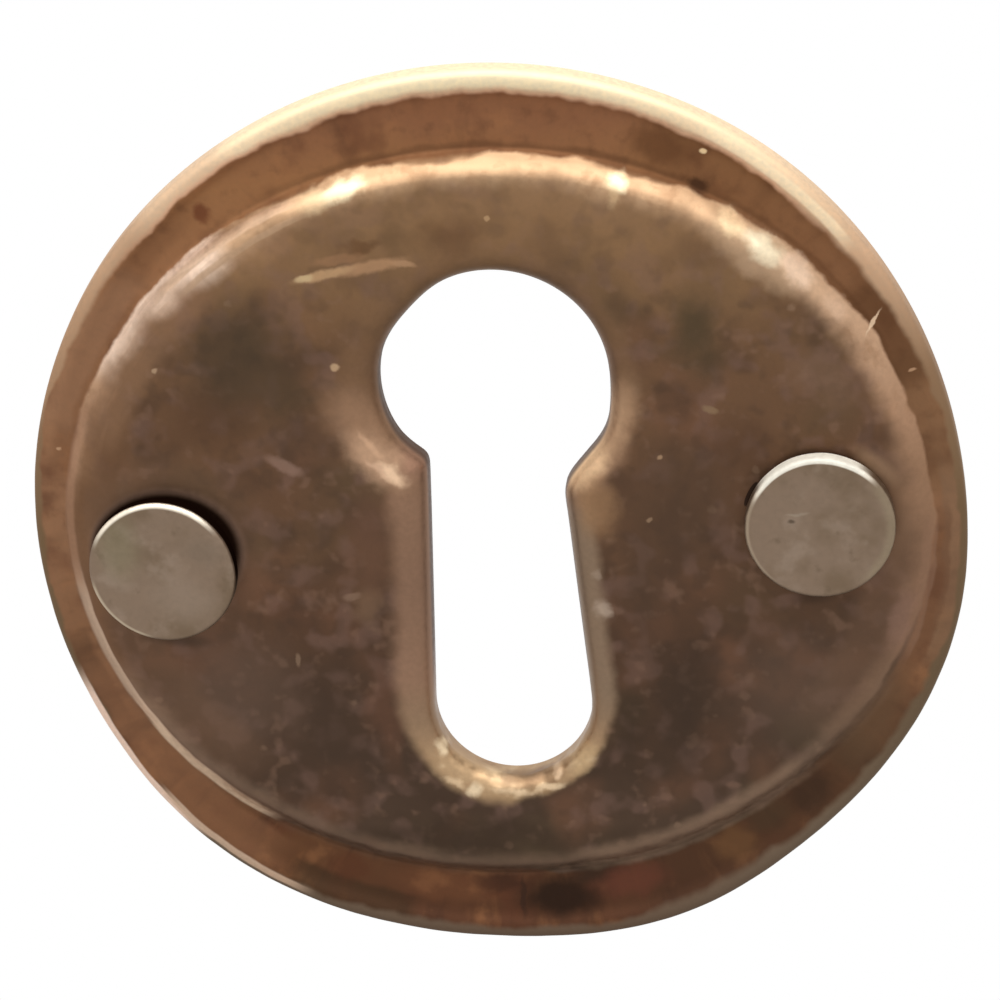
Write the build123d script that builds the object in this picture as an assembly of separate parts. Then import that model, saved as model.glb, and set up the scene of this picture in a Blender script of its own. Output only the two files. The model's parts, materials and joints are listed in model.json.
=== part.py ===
from build123d import *
import math
import os

# The plate stands upright in XZ with its back on the plane Y = 0 and its face towards -Y.
# Heights are measured from that back plane towards the face. All sizes are in millimetres.

# Plate
plate_diameter = 32.0
sheet_thickness = 0.75
lip_height = 1.05
lip_edge_radius = 0.35
lip_slope_width = 0.6
field_height = 1.55
rim_width_at_sides = 1.2
rim_width_at_top = 2.75
shoulder_draft = 0.2
shoulder_radius = 0.55
cove_radius = 0.2
back_corner_radius = 0.25

# Keyhole
round_diameter = 7.8
round_above_centre = 5.2
round_right_of_centre = 0.25
slot_width_at_round = 4.15
slot_width_at_end = 5.45
slot_end_below_centre = 6.75
slot_right_of_centre = 0.05
keyhole_edge_radius = 0.9
turned_edge_gap_behind = 0.2

# Pins
pin_hole_clearance = 0.25
head_diameter = 5.1
head_thickness = 0.7
head_edge_radius = 0.15
neck_diameter = 1.9
neck_past_back = 0.6
shank_diameter = 1.4
shank_length = 8.0
point_length = 2.2
point_tip_diameter = 0.2
head_rest_gap = 0.02

# Fillets and edge selection
fillets_share_of_wall = 0.95
position_tolerance = 0.001

# The two pins were set by hand. Each has its side of the plate, how far its hole lies in from the plate's edge and
# below the centre, its lean in degrees, and the direction of its raised edge in degrees from +X towards +Z.
PINS = {
    "left_pin": {"side": -1, "inset": 4.6, "below_centre": 0.75, "lean": 5.5, "raised_towards": 8.0},
    "right_pin": {"side": 1, "inset": 5.0, "below_centre": 0.1, "lean": 2.0, "raised_towards": 135.0},
}

plate_radius = plate_diameter / 2
field_foot = (plate_radius - rim_width_at_sides, plate_radius - rim_width_at_top)
pin_hole_diameter = neck_diameter + 2 * pin_hole_clearance
neck_length = field_height + neck_past_back
through = 2 * field_height


def at_height(height):
    """The sketch plane at this height above the back, looking at the face: local x is X and local y is Z."""
    return Plane.XZ.offset(height)


def oval_block(foot, low, high, draft):
    """A solid with an oval foot that narrows by the draft on its way from the low height to the high one."""
    wide = at_height(low) * Ellipse(*foot)
    narrow = at_height(high) * Ellipse(foot[0] - draft, foot[1] - draft)
    return loft([wide, narrow], ruled=True)


def edges_at_height(shape, height):
    """The edges of the shape that lie wholly at this height above the back."""
    return shape.edges().filter_by_position(Axis.Y, -height - position_tolerance, -height + position_tolerance)


def fitted(wall, *radii):
    """The radii of the fillets along one wall, all made smaller where the wall is too low to hold them."""
    share = min(1, fillets_share_of_wall * wall / sum(radii))
    return [radius * share for radius in radii]


def rim_disc():
    """The round base of the pressing, turned about Y: a rounded lip that runs down in an S to the flat cove floor."""
    crown = plate_radius - lip_edge_radius
    floor = crown - lip_slope_width
    halfway = ((crown + floor) / 2, -(lip_height + sheet_thickness) / 2)
    edge_top = (plate_radius, -lip_height + lip_edge_radius)
    rounding = TangentArc(edge_top, (crown, -lip_height), tangent=(0, -1))
    upper_slope = TangentArc((crown, -lip_height), halfway, tangent=(-1, 0))
    lower_slope = TangentArc(halfway, (floor, -sheet_thickness), tangent=upper_slope % 1)
    rest = Polyline((floor, -sheet_thickness), (0, -sheet_thickness), (0, 0), (plate_radius, 0), edge_top)
    section = make_face([rounding, upper_slope, lower_slope] + rest.edges())
    return revolve(section, Axis.Y)


def slot_outline(growth):
    """The flared slot below the round hole, closed by round ends, grown by this much all round."""
    upper = CenterArc((slot_right_of_centre, round_above_centre), slot_width_at_round / 2 + growth, 0, 360)
    lower = CenterArc((slot_right_of_centre, -slot_end_below_centre), slot_width_at_end / 2 + growth, 0, 360)
    return make_hull([upper, lower])


def round_hole_cutter():
    """A turned cutter for the round hole that opens in a quarter round where it meets the face."""
    radius = round_diameter / 2
    start = field_height - keyhole_edge_radius
    wide = radius + keyhole_edge_radius
    wall = Line((radius, through), (radius, -start))
    flare = RadiusArc((radius, -start), (wide, -field_height), -keyhole_edge_radius)
    closing = Polyline((wide, -field_height), (wide, -through), (0, -through), (0, through), (radius, through))
    section = make_face([wall, flare] + closing.edges())
    return Pos(round_right_of_centre, 0, round_above_centre) * revolve(section, Axis.Y)


def turned_edge():
    """The collar behind the face that the turned-in edge of the keyhole makes."""
    ring = Pos(round_right_of_centre, round_above_centre) * Circle(round_diameter / 2 + sheet_thickness)
    outline = at_height(turned_edge_gap_behind) * (ring + slot_outline(sheet_thickness))
    return extrude(outline, field_height - sheet_thickness / 2 - turned_edge_gap_behind, dir=(0, -1, 0))


def pin_place(pin):
    """Where one pin's hole lies, across and up from the centre of the plate."""
    return pin["side"] * (plate_radius - pin["inset"]), -pin["below_centre"]


def pin_hole(pin):
    """A hole through the sheet of the raised field for one pin."""
    disc = at_height(-through) * (Pos(*pin_place(pin)) * Circle(pin_hole_diameter / 2))
    return extrude(disc, 2 * through, dir=(0, -1, 0))


def escutcheon_plate():
    """The whole pressing: rim, oval field, hollow back, keyhole and pin holes."""
    shoulder_fillet, cove_fillet = fitted(field_height - sheet_thickness, shoulder_radius, cove_radius)
    field = oval_block(field_foot, 0, field_height, shoulder_draft)
    field = fillet(edges_at_height(field, field_height), shoulder_fillet)
    plate = rim_disc() + field
    foot_edges = edges_at_height(plate, sheet_thickness).filter_by(GeomType.CIRCLE, reverse=True)
    plate = fillet(foot_edges, cove_fillet)

    hollow_depth = field_height - sheet_thickness
    mouth = tuple(half - sheet_thickness for half in field_foot)
    hollow = oval_block(mouth, 0, hollow_depth, shoulder_draft)
    hollow = fillet(edges_at_height(hollow, hollow_depth), *fitted(hollow_depth, back_corner_radius))
    plate = plate - hollow + turned_edge()

    slot = extrude(at_height(-through) * slot_outline(0), 2 * through, dir=(0, -1, 0))
    plate = plate - slot
    face = plate.faces().filter_by(Plane.XZ).sort_by(Axis.Y)[0]
    plate = fillet(face.inner_wires()[0].edges(), keyhole_edge_radius)
    plate = plate - round_hole_cutter()
    for pin in PINS.values():
        plate = plate - pin_hole(pin)
    return plate


def upright_pin():
    """One pin turned about Y: head towards -Y with its underside on Y = 0, neck, shank and point towards +Y."""
    head = head_diameter / 2
    neck = neck_diameter / 2
    shank = shank_diameter / 2
    shank_end = neck_length + shank_length
    corners = [
        (0, -head_thickness),
        (head, -head_thickness),
        (head, 0),
        (neck, 0),
        (shank, neck_length),
        (shank, shank_end),
        (point_tip_diameter / 2, shank_end + point_length),
        (0, shank_end + point_length),
    ]
    section = make_face(Polyline(*corners, close=True))
    rim = section.vertices().filter_by_position(Axis.X, head - position_tolerance, head + position_tolerance)
    section = fillet(rim, *fitted(head_thickness / 2, head_edge_radius))
    return revolve(section, Axis.Y)


def seated_pin(pin):
    """One pin leaning in its hole, with the low edge of its head resting on the face."""
    lift = head_diameter / 2 * math.sin(math.radians(pin["lean"])) + head_rest_gap
    raised = math.radians(pin["raised_towards"])
    hinge = Axis((0, 0, 0), (math.sin(raised), 0, -math.cos(raised)))
    leaning = upright_pin().rotate(hinge, pin["lean"])
    across, up = pin_place(pin)
    return Pos(across, -field_height - lift, up) * leaning


os.makedirs("parts", exist_ok=True)
export_step(escutcheon_plate(), "parts/escutcheon_plate.step")
for name, pin in PINS.items():
    export_step(seated_pin(pin), f"parts/{name}.step")
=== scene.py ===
# %% [markdown]
# # A keyhole escutcheon in Blender
# An escutcheon is the small metal plate round a keyhole on a drawer or a cupboard door. This one is pressed
# from brass sheet, has gone brown with age, and is held by two flat-headed pins that someone set by hand.
# The imported CAD model gives every size and place. Here it gets the look of the old metal: the wear in its
# shape, the patina on it, and painted light and shade in its colours.

# %% Load the frame
import json
import math

import bpy
import numpy as np
from mathutils import Matrix, Vector


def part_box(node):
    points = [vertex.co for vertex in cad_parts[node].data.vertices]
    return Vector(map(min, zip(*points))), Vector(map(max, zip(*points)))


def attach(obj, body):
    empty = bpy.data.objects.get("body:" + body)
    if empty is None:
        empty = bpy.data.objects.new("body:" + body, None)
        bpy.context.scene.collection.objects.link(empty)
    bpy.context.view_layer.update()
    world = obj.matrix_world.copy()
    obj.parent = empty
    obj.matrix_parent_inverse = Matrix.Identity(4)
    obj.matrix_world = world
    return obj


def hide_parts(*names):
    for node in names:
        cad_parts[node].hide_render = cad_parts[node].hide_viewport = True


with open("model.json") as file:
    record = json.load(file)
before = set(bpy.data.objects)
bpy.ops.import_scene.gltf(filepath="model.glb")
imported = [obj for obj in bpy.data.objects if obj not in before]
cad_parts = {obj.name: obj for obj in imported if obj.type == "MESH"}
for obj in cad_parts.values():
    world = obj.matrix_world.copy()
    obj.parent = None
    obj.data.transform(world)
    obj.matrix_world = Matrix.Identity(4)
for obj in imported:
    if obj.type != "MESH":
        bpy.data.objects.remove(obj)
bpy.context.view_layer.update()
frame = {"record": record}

MM = 0.001
plate_low, plate_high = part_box("escutcheon_plate")
plate_radius = (plate_high[0] - plate_low[0]) / 2 / MM
field_height = -plate_low[1] / MM
print(f"plate {2 * plate_radius:.2f} mm across, its face {field_height:.2f} mm above the wood")

# %% [markdown]
# ## Nodes by name
# Both the shapes and the finishes below are node trees. A tree could be wired by hand in the editor, but a
# script can only be read if each node takes one line, so these small helpers add a node and plug in its
# values in one go. They all work on `tree`, the tree that is being wired at the time.


# %% Helpers for node trees
SEED_STEP = (17.3, 5.1, 9.7)


def add(kind, inputs=(), **settings):
    """Adds one node. Settings are its properties, and inputs gives values or outputs to its sockets."""
    made = tree.nodes.new(kind)
    for name, value in settings.items():
        setattr(made, name, value)
    for socket, value in dict(inputs).items():
        if isinstance(value, bpy.types.NodeSocket):
            tree.links.new(value, made.inputs[socket])
        else:
            made.inputs[socket].default_value = value
    return made


def calc(operation, first, second=0.0, third=0.0):
    """One step of arithmetic on numbers."""
    return add("ShaderNodeMath", {0: first, 1: second, 2: third}, operation=operation).outputs[0]


def both(*masks):
    """Where all of these masks are 1: their product."""
    result = masks[0]
    for mask in masks[1:]:
        result = calc("MULTIPLY", result, mask)
    return result


def vector(operation, *values):
    """One step of arithmetic on vectors."""
    made = add("ShaderNodeVectorMath", enumerate(values), operation=operation)
    return made.outputs["Value" if operation in ("LENGTH", "DOT_PRODUCT") else "Vector"]


def split(value):
    """The X, Y and Z of a vector."""
    return add("ShaderNodeSeparateXYZ", {0: value}).outputs


def joined(**axes):
    """A vector from its X, Y and Z."""
    return add("ShaderNodeCombineXYZ", axes).outputs[0]


def ramp(value, start, end, low=0.0, high=1.0, smooth=True, hold=True):
    """Takes a value from start..end to low..high and holds it at both ends. A smooth step holds by itself."""
    kind = "SMOOTHSTEP" if smooth else "LINEAR"
    sockets = {0: value, 1: start, 2: end, 3: low, 4: high}
    clamp = hold and not smooth
    return add("ShaderNodeMapRange", sockets, interpolation_type=kind, clamp=clamp).outputs[0]


def stripe(value, low, high, fade):
    """A mask that is 1 from low to high and fades out beyond both."""
    return both(ramp(value, low - fade, low), ramp(value, high, high + fade, 1.0, 0.0))


def speckle(place, size, detail=2.0):
    """Noise from 0 to 1 whose blotches are about this many millimetres across."""
    return add("ShaderNodeTexNoise", {"Vector": place, "Scale": 1 / size, "Detail": detail}).outputs["Fac"]


def centred(place, size, detail=2.0):
    """The same noise from -0.5 to 0.5."""
    return calc("SUBTRACT", speckle(place, size, detail), 0.5)


def shifted(place, seed):
    """The same point moved far away, so that two noises of one size don't repeat each other."""
    return vector("ADD", place, [step * seed for step in SEED_STEP])


print("helpers for node trees are ready")

# %% [markdown]
# Geometry Nodes trees run on a mesh as a modifier. These helpers start a tree with named inputs, end it
# with the steps that every finished piece needs, and run it once to keep the plain mesh that comes out.


# %% Helpers for shape trees
def new_shape_tree(name, numbers, vectors, materials):
    """An empty Geometry Nodes tree with named inputs."""
    made = bpy.data.node_groups.new(name, "GeometryNodeTree")
    made.interface.new_socket("Geometry", in_out="INPUT", socket_type="NodeSocketGeometry")
    for kind, labels in (("Float", numbers), ("Vector", vectors), ("Material", materials)):
        for label in labels:
            made.interface.new_socket(label, in_out="INPUT", socket_type="NodeSocket" + kind)
    made.interface.new_socket("Geometry", in_out="OUTPUT", socket_type="NodeSocketGeometry")
    return made


def position():
    """Where a point of the mesh lies at this stage of the tree."""
    return add("GeometryNodeInputPosition").outputs[0]


def move(geometry, **sockets):
    """Sets the points of a mesh to a position or moves them by an offset."""
    return add("GeometryNodeSetPosition", {"Geometry": geometry, **sockets}).outputs[0]


def end_shape(geometry, scale, metal, fold=None):
    """Scales the shape from millimetres, smooths it up to a fold angle and gives it its material."""
    size = {"Geometry": geometry, "Scale": joined(X=scale, Y=scale, Z=scale)}
    shape = add("GeometryNodeTransform", size).outputs[0]
    shape = add("GeometryNodeSetShadeSmooth", {"Geometry": shape}).outputs[0]
    if fold:
        angle = add("GeometryNodeInputMeshEdgeAngle").outputs["Unsigned Angle"]
        soft = add("FunctionNodeCompare", {0: angle, 1: fold}, operation="LESS_THAN").outputs[0]
        edges = {"Geometry": shape, "Shade Smooth": soft}
        shape = add("GeometryNodeSetShadeSmooth", edges, domain="EDGE").outputs[0]
    shape = add("GeometryNodeRealizeInstances", {"Geometry": shape}).outputs[0]
    shape = add("GeometryNodeSetMaterial", {"Geometry": shape, "Material": metal}).outputs[0]
    add("NodeGroupOutput", {"Geometry": shape})


def grow(name, start_mesh, shape_tree, values):
    """Runs a tree on a mesh and returns an object whose plain mesh is the result."""
    seed = bpy.data.objects.new(name + "_start", start_mesh)
    bpy.context.scene.collection.objects.link(seed)
    modifier = seed.modifiers.new("shape", "NODES")
    modifier.node_group = shape_tree
    for item in shape_tree.interface.items_tree:
        if item.in_out == "INPUT" and item.name in values:
            modifier[item.identifier] = values[item.name]
    depsgraph = bpy.context.evaluated_depsgraph_get()
    mesh = bpy.data.meshes.new_from_object(seed.evaluated_get(depsgraph), depsgraph=depsgraph)
    seed.modifiers.remove(modifier)
    bpy.data.objects.remove(seed)
    mesh.name = name
    made = bpy.data.objects.new(name, mesh)
    bpy.context.scene.collection.objects.link(made)
    print(f"{name}: {len(mesh.polygons)} faces")
    return made


print("helpers for shape trees are ready")

# %% [markdown]
# ## The camera
# The photograph looks at the plate from a little above and slightly from the right, through a long lens.
# Camera position and lens were fitted to the plate's outline, the pins and the keyhole. The small shift is
# where that picture was cropped. The camera comes first, because marks on the metal are placed by where
# they show in it.

# %% Set the camera
IMAGE_SIZE = 1000
CAMERA_AZIMUTH = math.radians(6.1)
CAMERA_ELEVATION = math.radians(22.16)
CAMERA_ROLL = math.radians(-4.5)
CAMERA_DISTANCE = 180.0
FOCAL_PIXELS = 5254.0
AXIS_PIXEL = (499.8, 511.9)

towards_camera = Vector((
    math.sin(CAMERA_AZIMUTH) * math.cos(CAMERA_ELEVATION),
    -math.cos(CAMERA_AZIMUTH) * math.cos(CAMERA_ELEVATION),
    math.sin(CAMERA_ELEVATION),
))
level_right = (-towards_camera).cross(Vector((0, 0, 1))).normalized()
level_up = level_right.cross(-towards_camera)
view_right = math.cos(CAMERA_ROLL) * level_right + math.sin(CAMERA_ROLL) * level_up
view_up = math.cos(CAMERA_ROLL) * level_up - math.sin(CAMERA_ROLL) * level_right

camera_data = bpy.data.cameras.new("photo_camera")
camera_data.sensor_width = 36.0
camera_data.lens = FOCAL_PIXELS * camera_data.sensor_width / IMAGE_SIZE
camera_data.shift_x = 0.5 - AXIS_PIXEL[0] / IMAGE_SIZE
camera_data.shift_y = AXIS_PIXEL[1] / IMAGE_SIZE - 0.5
camera_data.clip_start = 0.001
camera = bpy.data.objects.new("photo_camera", camera_data)
bpy.context.scene.collection.objects.link(camera)
turn = Matrix((view_right, view_up, towards_camera)).transposed().to_4x4()
camera.matrix_world = Matrix.Translation(towards_camera * CAMERA_DISTANCE * MM) @ turn
bpy.context.scene.camera = camera
print(f"lens {camera_data.lens:.1f} mm, {CAMERA_DISTANCE:.0f} mm from the plate")


def on_plate(pixel_x, pixel_y, height=field_height):
    """Where a pixel of the photograph falls on the plate, across and up in millimetres, at this height."""
    right, down = pixel_x - AXIS_PIXEL[0], pixel_y - AXIS_PIXEL[1]
    ray = view_right * right - view_up * down - towards_camera * FOCAL_PIXELS
    start = towards_camera * CAMERA_DISTANCE
    hit = start + ray * ((-height - start.y) / ray.y)
    return hit.x, hit.z


# %% [markdown]
# ## The blank
# The real plate starts as a flat blank with the keyhole punched out, and is then pressed between two dies.
# The shape is built the same way. The blank is a closed band of rings: from the keyhole's edge out over the
# face to the rim, then back over the hidden side to the keyhole. Rings near the keyhole follow the keyhole,
# the next follow the oval of the raised field, and the outermost follow the round edge, so edges in the
# mesh lie along edges in the metal.

# %% The keyhole's outline
ROUND_CENTRE = np.array((0.25, 5.2))
ROUND_RADIUS = 3.9
SLOT_TOP_CENTRE = np.array((0.05, 5.2))
SLOT_TOP_RADIUS = 2.075
SLOT_END_CENTRE = np.array((0.05, -6.75))
SLOT_END_RADIUS = 2.725
ROUND_POINTS, SIDE_POINTS, END_POINTS = 260, 100, 120
COLUMNS = ROUND_POINTS + 2 * SIDE_POINTS + END_POINTS
CORNER_WEAR_PASSES = {0: 60, ROUND_POINTS: 14}
CORNER_WEAR_REACH = 16
FILED_PLACES = {
    "right corner": ((2.3, 1.8), (0, -0.5), 1.1),
    "left corner": ((-2.2, 2.1), (0, 0.22), 1.1),
    "right of the round": ((3.6, 3.2), (0.2, -0.12), 1.2),
    "left of the round": ((-2.6, 8.0), (0.1, -0.1), 1.3),
}


def arc(centre, radius, start, end, count):
    """Points on a circle from one angle to another, without the last one."""
    angles = np.linspace(start, end, count, endpoint=False)
    return centre + radius * np.column_stack((np.cos(angles), np.sin(angles)))


def line(start, end, count):
    """Points on a straight line, without the last one."""
    share = np.linspace(0, 1, count, endpoint=False)[:, None]
    return start + (end - start) * share


def slot_side(side, growth):
    """The ends of one side of the slot: its corner with the round hole and where the end's arc starts."""
    drop = SLOT_TOP_CENTRE[1] - SLOT_END_CENTRE[1]
    flare = math.asin((SLOT_END_RADIUS - SLOT_TOP_RADIUS) / drop)
    outward = np.array((side * math.cos(flare), math.sin(flare)))
    downward = np.array((side * math.sin(flare), -math.cos(flare)))
    top = SLOT_TOP_CENTRE + (SLOT_TOP_RADIUS + growth) * outward
    from_round = top - ROUND_CENTRE
    along = from_round @ downward
    reach = -along + math.sqrt(along ** 2 - from_round @ from_round + (ROUND_RADIUS + growth) ** 2)
    return top + reach * downward, SLOT_END_CENTRE + (SLOT_END_RADIUS + growth) * outward


def keyhole_ring(growth):
    """The keyhole's outline grown by this much, from the right corner over the hole and round the slot."""
    right_corner, right_foot = slot_side(1, growth)
    left_corner, left_foot = slot_side(-1, growth)
    start, end = (math.atan2(*(corner - ROUND_CENTRE)[::-1]) for corner in (right_corner, left_corner))
    turn_left, turn_right = (math.atan2(*(foot - SLOT_END_CENTRE)[::-1]) for foot in (left_foot, right_foot))
    ring = np.concatenate((
        arc(ROUND_CENTRE, ROUND_RADIUS + growth, start, end % (2 * math.pi), ROUND_POINTS),
        line(left_corner, left_foot, SIDE_POINTS),
        arc(SLOT_END_CENTRE, SLOT_END_RADIUS + growth, turn_left, turn_right + 2 * math.pi, END_POINTS),
        line(right_foot, right_corner, SIDE_POINTS),
    ))
    for place, push, reach in FILED_PLACES.values():
        away = np.hypot(*(ring - place).T)
        ring += np.outer(np.exp(-(away / reach) ** 2), push)
    for corner, passes in CORNER_WEAR_PASSES.items():
        near = np.arange(corner - CORNER_WEAR_REACH, corner + CORNER_WEAR_REACH + 1) % COLUMNS
        for _ in range(passes):
            ring[near] = (ring[near - 1] + 2 * ring[near] + ring[(near + 1) % COLUMNS]) / 4
    return ring


print("keyhole", np.ptp(keyhole_ring(0.0), axis=0).round(2), "mm wide and tall")

# %% The oval, the edge and the distances between them
FIELD_FOOT = np.array((14.8, 13.25))
HUB = (slot_side(1, 0.0)[0] + slot_side(-1, 0.0)[0]) / 2
EDGE_KNOCKS = {
    -160: -0.10, -130: 0.12, -95: -0.14, -70: 0.12, -50: -0.07, -20: 0.09, 10: -0.12, 60: 0.12, 125: 0.10,
}

upper_turn = np.linspace(0, math.pi, ROUND_POINTS, endpoint=False)
lower_turn = np.linspace(math.pi, 2 * math.pi, COLUMNS - ROUND_POINTS, endpoint=False)
spokes = np.concatenate((upper_turn, lower_turn))


def oval_ring(half_width, half_height):
    """An oval about the plate's centre, cut by the spokes that run out from the keyhole's waist."""
    ray = np.column_stack((np.cos(spokes), np.sin(spokes))) / (half_width, half_height)
    hub = HUB / (half_width, half_height)
    across = ray @ hub
    square = (ray ** 2).sum(axis=1)
    reach = (-across + np.sqrt(across ** 2 - square * (hub @ hub - 1))) / square
    return (hub + ray * reach[:, None]) * (half_width, half_height)


def depth_in_oval(points):
    """How far each point lies inside the foot of the raised field, and below zero outside it."""
    scaled = points / FIELD_FOOT
    size = np.sqrt((scaled ** 2).sum(axis=1))
    slope = np.sqrt(((scaled / FIELD_FOOT) ** 2).sum(axis=1)) / size
    return (1 - size) / slope


def knock(points):
    """How far the edge stands out from a true circle, or was knocked in, in each point's direction."""
    angles = np.array(sorted(EDGE_KNOCKS))
    depths = np.array([EDGE_KNOCKS[angle] for angle in angles])
    turns = np.concatenate((angles - 360, angles, angles + 360))
    here = np.degrees(np.arctan2(points[:, 1], points[:, 0]))
    share = np.interp(here, turns, np.arange(len(turns)))
    lower = np.floor(share).astype(int)
    ease = (1 - np.cos(math.pi * (share - lower))) / 2
    depths = np.tile(depths, 3)
    return depths[lower] * (1 - ease) + depths[np.minimum(lower + 1, len(depths) - 1)] * ease


print(f"spokes start at {HUB.round(2)}, edge uneven by {max(EDGE_KNOCKS.values())} mm")

# %% Lay the rings
KEYHOLE_EDGE_RADIUS, FOOT_ROLL_SHARE = 0.9, 0.68
SHEET_THICKNESS = 0.75
LIP_WIDTH = 1.1
SHOULDER_IN, COVE_OUT = 1.0, 0.18
COLLAR_BACK = 0.2
LIP_EDGE_HEIGHT = 0.7
HOLLOW_DEPTH = field_height - SHEET_THICKNESS
HOLLOW_CORNER, HOLLOW_DRAFT = 0.25, 0.02
CORNER_BEVEL = 0.06
rings = []


def lay(points, on_face, height=0.0):
    """Adds one ring to the blank. Rings on the hidden side bring their own height above the wood."""
    rings.append((points, on_face, height))


def lay_between(start, end, shares, on_face, height=0.0):
    """Adds rings that pass evenly from one ring to another."""
    for share in shares:
        lay(start + (end - start) * share, on_face, height)


lay(keyhole_ring(CORNER_BEVEL), False, COLLAR_BACK)
for height in np.linspace(COLLAR_BACK + CORNER_BEVEL, field_height - KEYHOLE_EDGE_RADIUS, 4)[:-1]:
    lay(keyhole_ring(0.0), False, height)
for bend in np.linspace(0, math.pi / 2, 16):
    lay(keyhole_ring(KEYHOLE_EDGE_RADIUS * (1 - math.cos(bend))), True)
face_start = keyhole_ring(KEYHOLE_EDGE_RADIUS)
face_end = oval_ring(*(FIELD_FOOT - SHOULDER_IN))
lay_between(face_start, face_end, np.linspace(0, 1, 46)[1:], True)
for depth in np.linspace(SHOULDER_IN, -COVE_OUT, 24)[1:]:
    lay(oval_ring(*(FIELD_FOOT - depth)), True)
lip_foot = oval_ring(plate_radius - LIP_WIDTH, plate_radius - LIP_WIDTH)
lay_between(oval_ring(*(FIELD_FOOT + COVE_OUT)), lip_foot, np.linspace(0, 1, 10)[1:], True)
for inset in LIP_WIDTH * (1 - np.sin(np.linspace(0, math.pi / 2, 18)[1:])):
    lay(oval_ring(plate_radius - inset, plate_radius - inset), True)
outer_edge = oval_ring(plate_radius, plate_radius)
for height in np.linspace(LIP_EDGE_HEIGHT, CORNER_BEVEL, 4)[1:]:
    lay(outer_edge, False, height)
back_edge = oval_ring(plate_radius - CORNER_BEVEL, plate_radius - CORNER_BEVEL)
hollow_mouth = oval_ring(*(FIELD_FOOT - SHEET_THICKNESS))
lay_between(back_edge, hollow_mouth, np.linspace(0, 1, 5), False)
for bend in np.linspace(0, math.pi / 2, 6)[1:]:
    inset = SHEET_THICKNESS + HOLLOW_CORNER * (1 - math.cos(bend)) + HOLLOW_DRAFT
    lay(oval_ring(*(FIELD_FOOT - inset)), False, HOLLOW_DEPTH - HOLLOW_CORNER * (1 - math.sin(bend)))
collar = keyhole_ring(SHEET_THICKNESS)
hollow_floor = oval_ring(*(FIELD_FOOT - SHEET_THICKNESS - HOLLOW_CORNER - HOLLOW_DRAFT))
lay_between(hollow_floor, collar, np.linspace(0, 1, 12)[1:], False, HOLLOW_DEPTH)
for height in np.linspace(HOLLOW_DEPTH, COLLAR_BACK + CORNER_BEVEL, 4)[1:]:
    lay(collar, False, height)
lay(keyhole_ring(SHEET_THICKNESS - CORNER_BEVEL), False, COLLAR_BACK)
print(f"{len(rings)} rings of {COLUMNS} points")

# %% [markdown]
# Each ring is joined to the next and the last one to the first, so the band closes. Every point keeps its
# distances to the keyhole, to the foot of the oval and to the edge, because the press and the finish both
# read them.

# %% Stitch the blank
KNOCK_REACH, KNOCK_FADE = 3.0, 2.0


def stitch_blank():
    """Joins the rings into one closed mesh whose points carry their distances to keyhole, oval and edge."""
    flat = np.concatenate([points for points, _, _ in rings])
    radius = np.hypot(*flat.T)
    outwards = flat / radius[:, None]
    near_edge = np.clip((radius - plate_radius + KNOCK_REACH) / KNOCK_FADE, 0, 1)[:, None]
    placed = flat + outwards * knock(flat)[:, None] * near_edge
    heights = np.repeat([0.0 if on_face else height for _, on_face, height in rings], COLUMNS)
    corners = np.column_stack((placed[:, 0], -heights, placed[:, 1]))
    ring, column = np.meshgrid(np.arange(len(rings)), np.arange(COLUMNS), indexing="ij")
    next_ring, next_column = (ring + 1) % len(rings), (column + 1) % COLUMNS
    quads = np.stack((
        ring * COLUMNS + column, next_ring * COLUMNS + column,
        next_ring * COLUMNS + next_column, ring * COLUMNS + next_column,
    ), axis=-1).reshape(-1, 4)
    mesh = bpy.data.meshes.new("plate_blank")
    mesh.from_pydata(corners.tolist(), [], quads.tolist())
    outline = keyhole_ring(0.0)
    keyhole_out = np.concatenate([
        np.sqrt(((points[:, None, :] - outline[None, :, :]) ** 2).sum(axis=2).min(axis=1))
        for points, _, _ in rings
    ])
    facts = {
        "on_face": np.repeat([float(on_face) for _, on_face, _ in rings], COLUMNS),
        "keyhole_out": keyhole_out,
        "oval_in": depth_in_oval(flat),
        "edge_in": plate_radius - radius,
    }
    for name, values in facts.items():
        mesh.attributes.new(name, "FLOAT", "POINT").data.foreach_set("value", values.astype(np.float32))
    return mesh


plate_blank = stitch_blank()
print(f"the blank has {len(plate_blank.polygons)} faces")

# %% [markdown]
# ## Where the pins sit
# Each pin is a stock piece that was pushed in by hand, so each leans its own way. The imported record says
# where the middle of each shank is and which way it points. From there the seat of the head follows along
# the pin's own axis.

# %% Find the pins' seats
NECK_PAST_BACK = 0.6
NECK_LENGTH = field_height + NECK_PAST_BACK
SHANK_LENGTH = 8.0
HOLE_RADIUS = 1.2

mounts = {mount["name"]: mount for mount in frame["record"]["mounts"]}
pin_axis, pin_seat = {}, {}
for pin in ("left_pin", "right_pin"):
    shank = mounts[pin + "_shank"]
    pin_axis[pin] = Vector(shank["axis"]).normalized()
    pin_seat[pin] = Vector(shank["pos_m"]) / MM - pin_axis[pin] * (NECK_LENGTH + SHANK_LENGTH / 2)
    lean = math.degrees(pin_axis[pin].angle(Vector((0, 1, 0))))
    seat = tuple(round(c, 2) for c in pin_seat[pin])
    print(f"{pin} leans {lean:.1f} degrees, its head's seat is at {seat} mm")

# %% [markdown]
# ## The press
# Pressing is a rule: the height of the metal depends only on how far a point lies from the keyhole, from
# the foot of the oval and from the edge. That suits Geometry Nodes. Two Float Curves are the profiles of
# the dies, a quarter circle turns the keyhole's edge in, and noise adds the knocks of a long life: dings on
# the shoulder and the lip, a face that is no longer quite flat, and the file marks at the foot of the slot.

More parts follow.
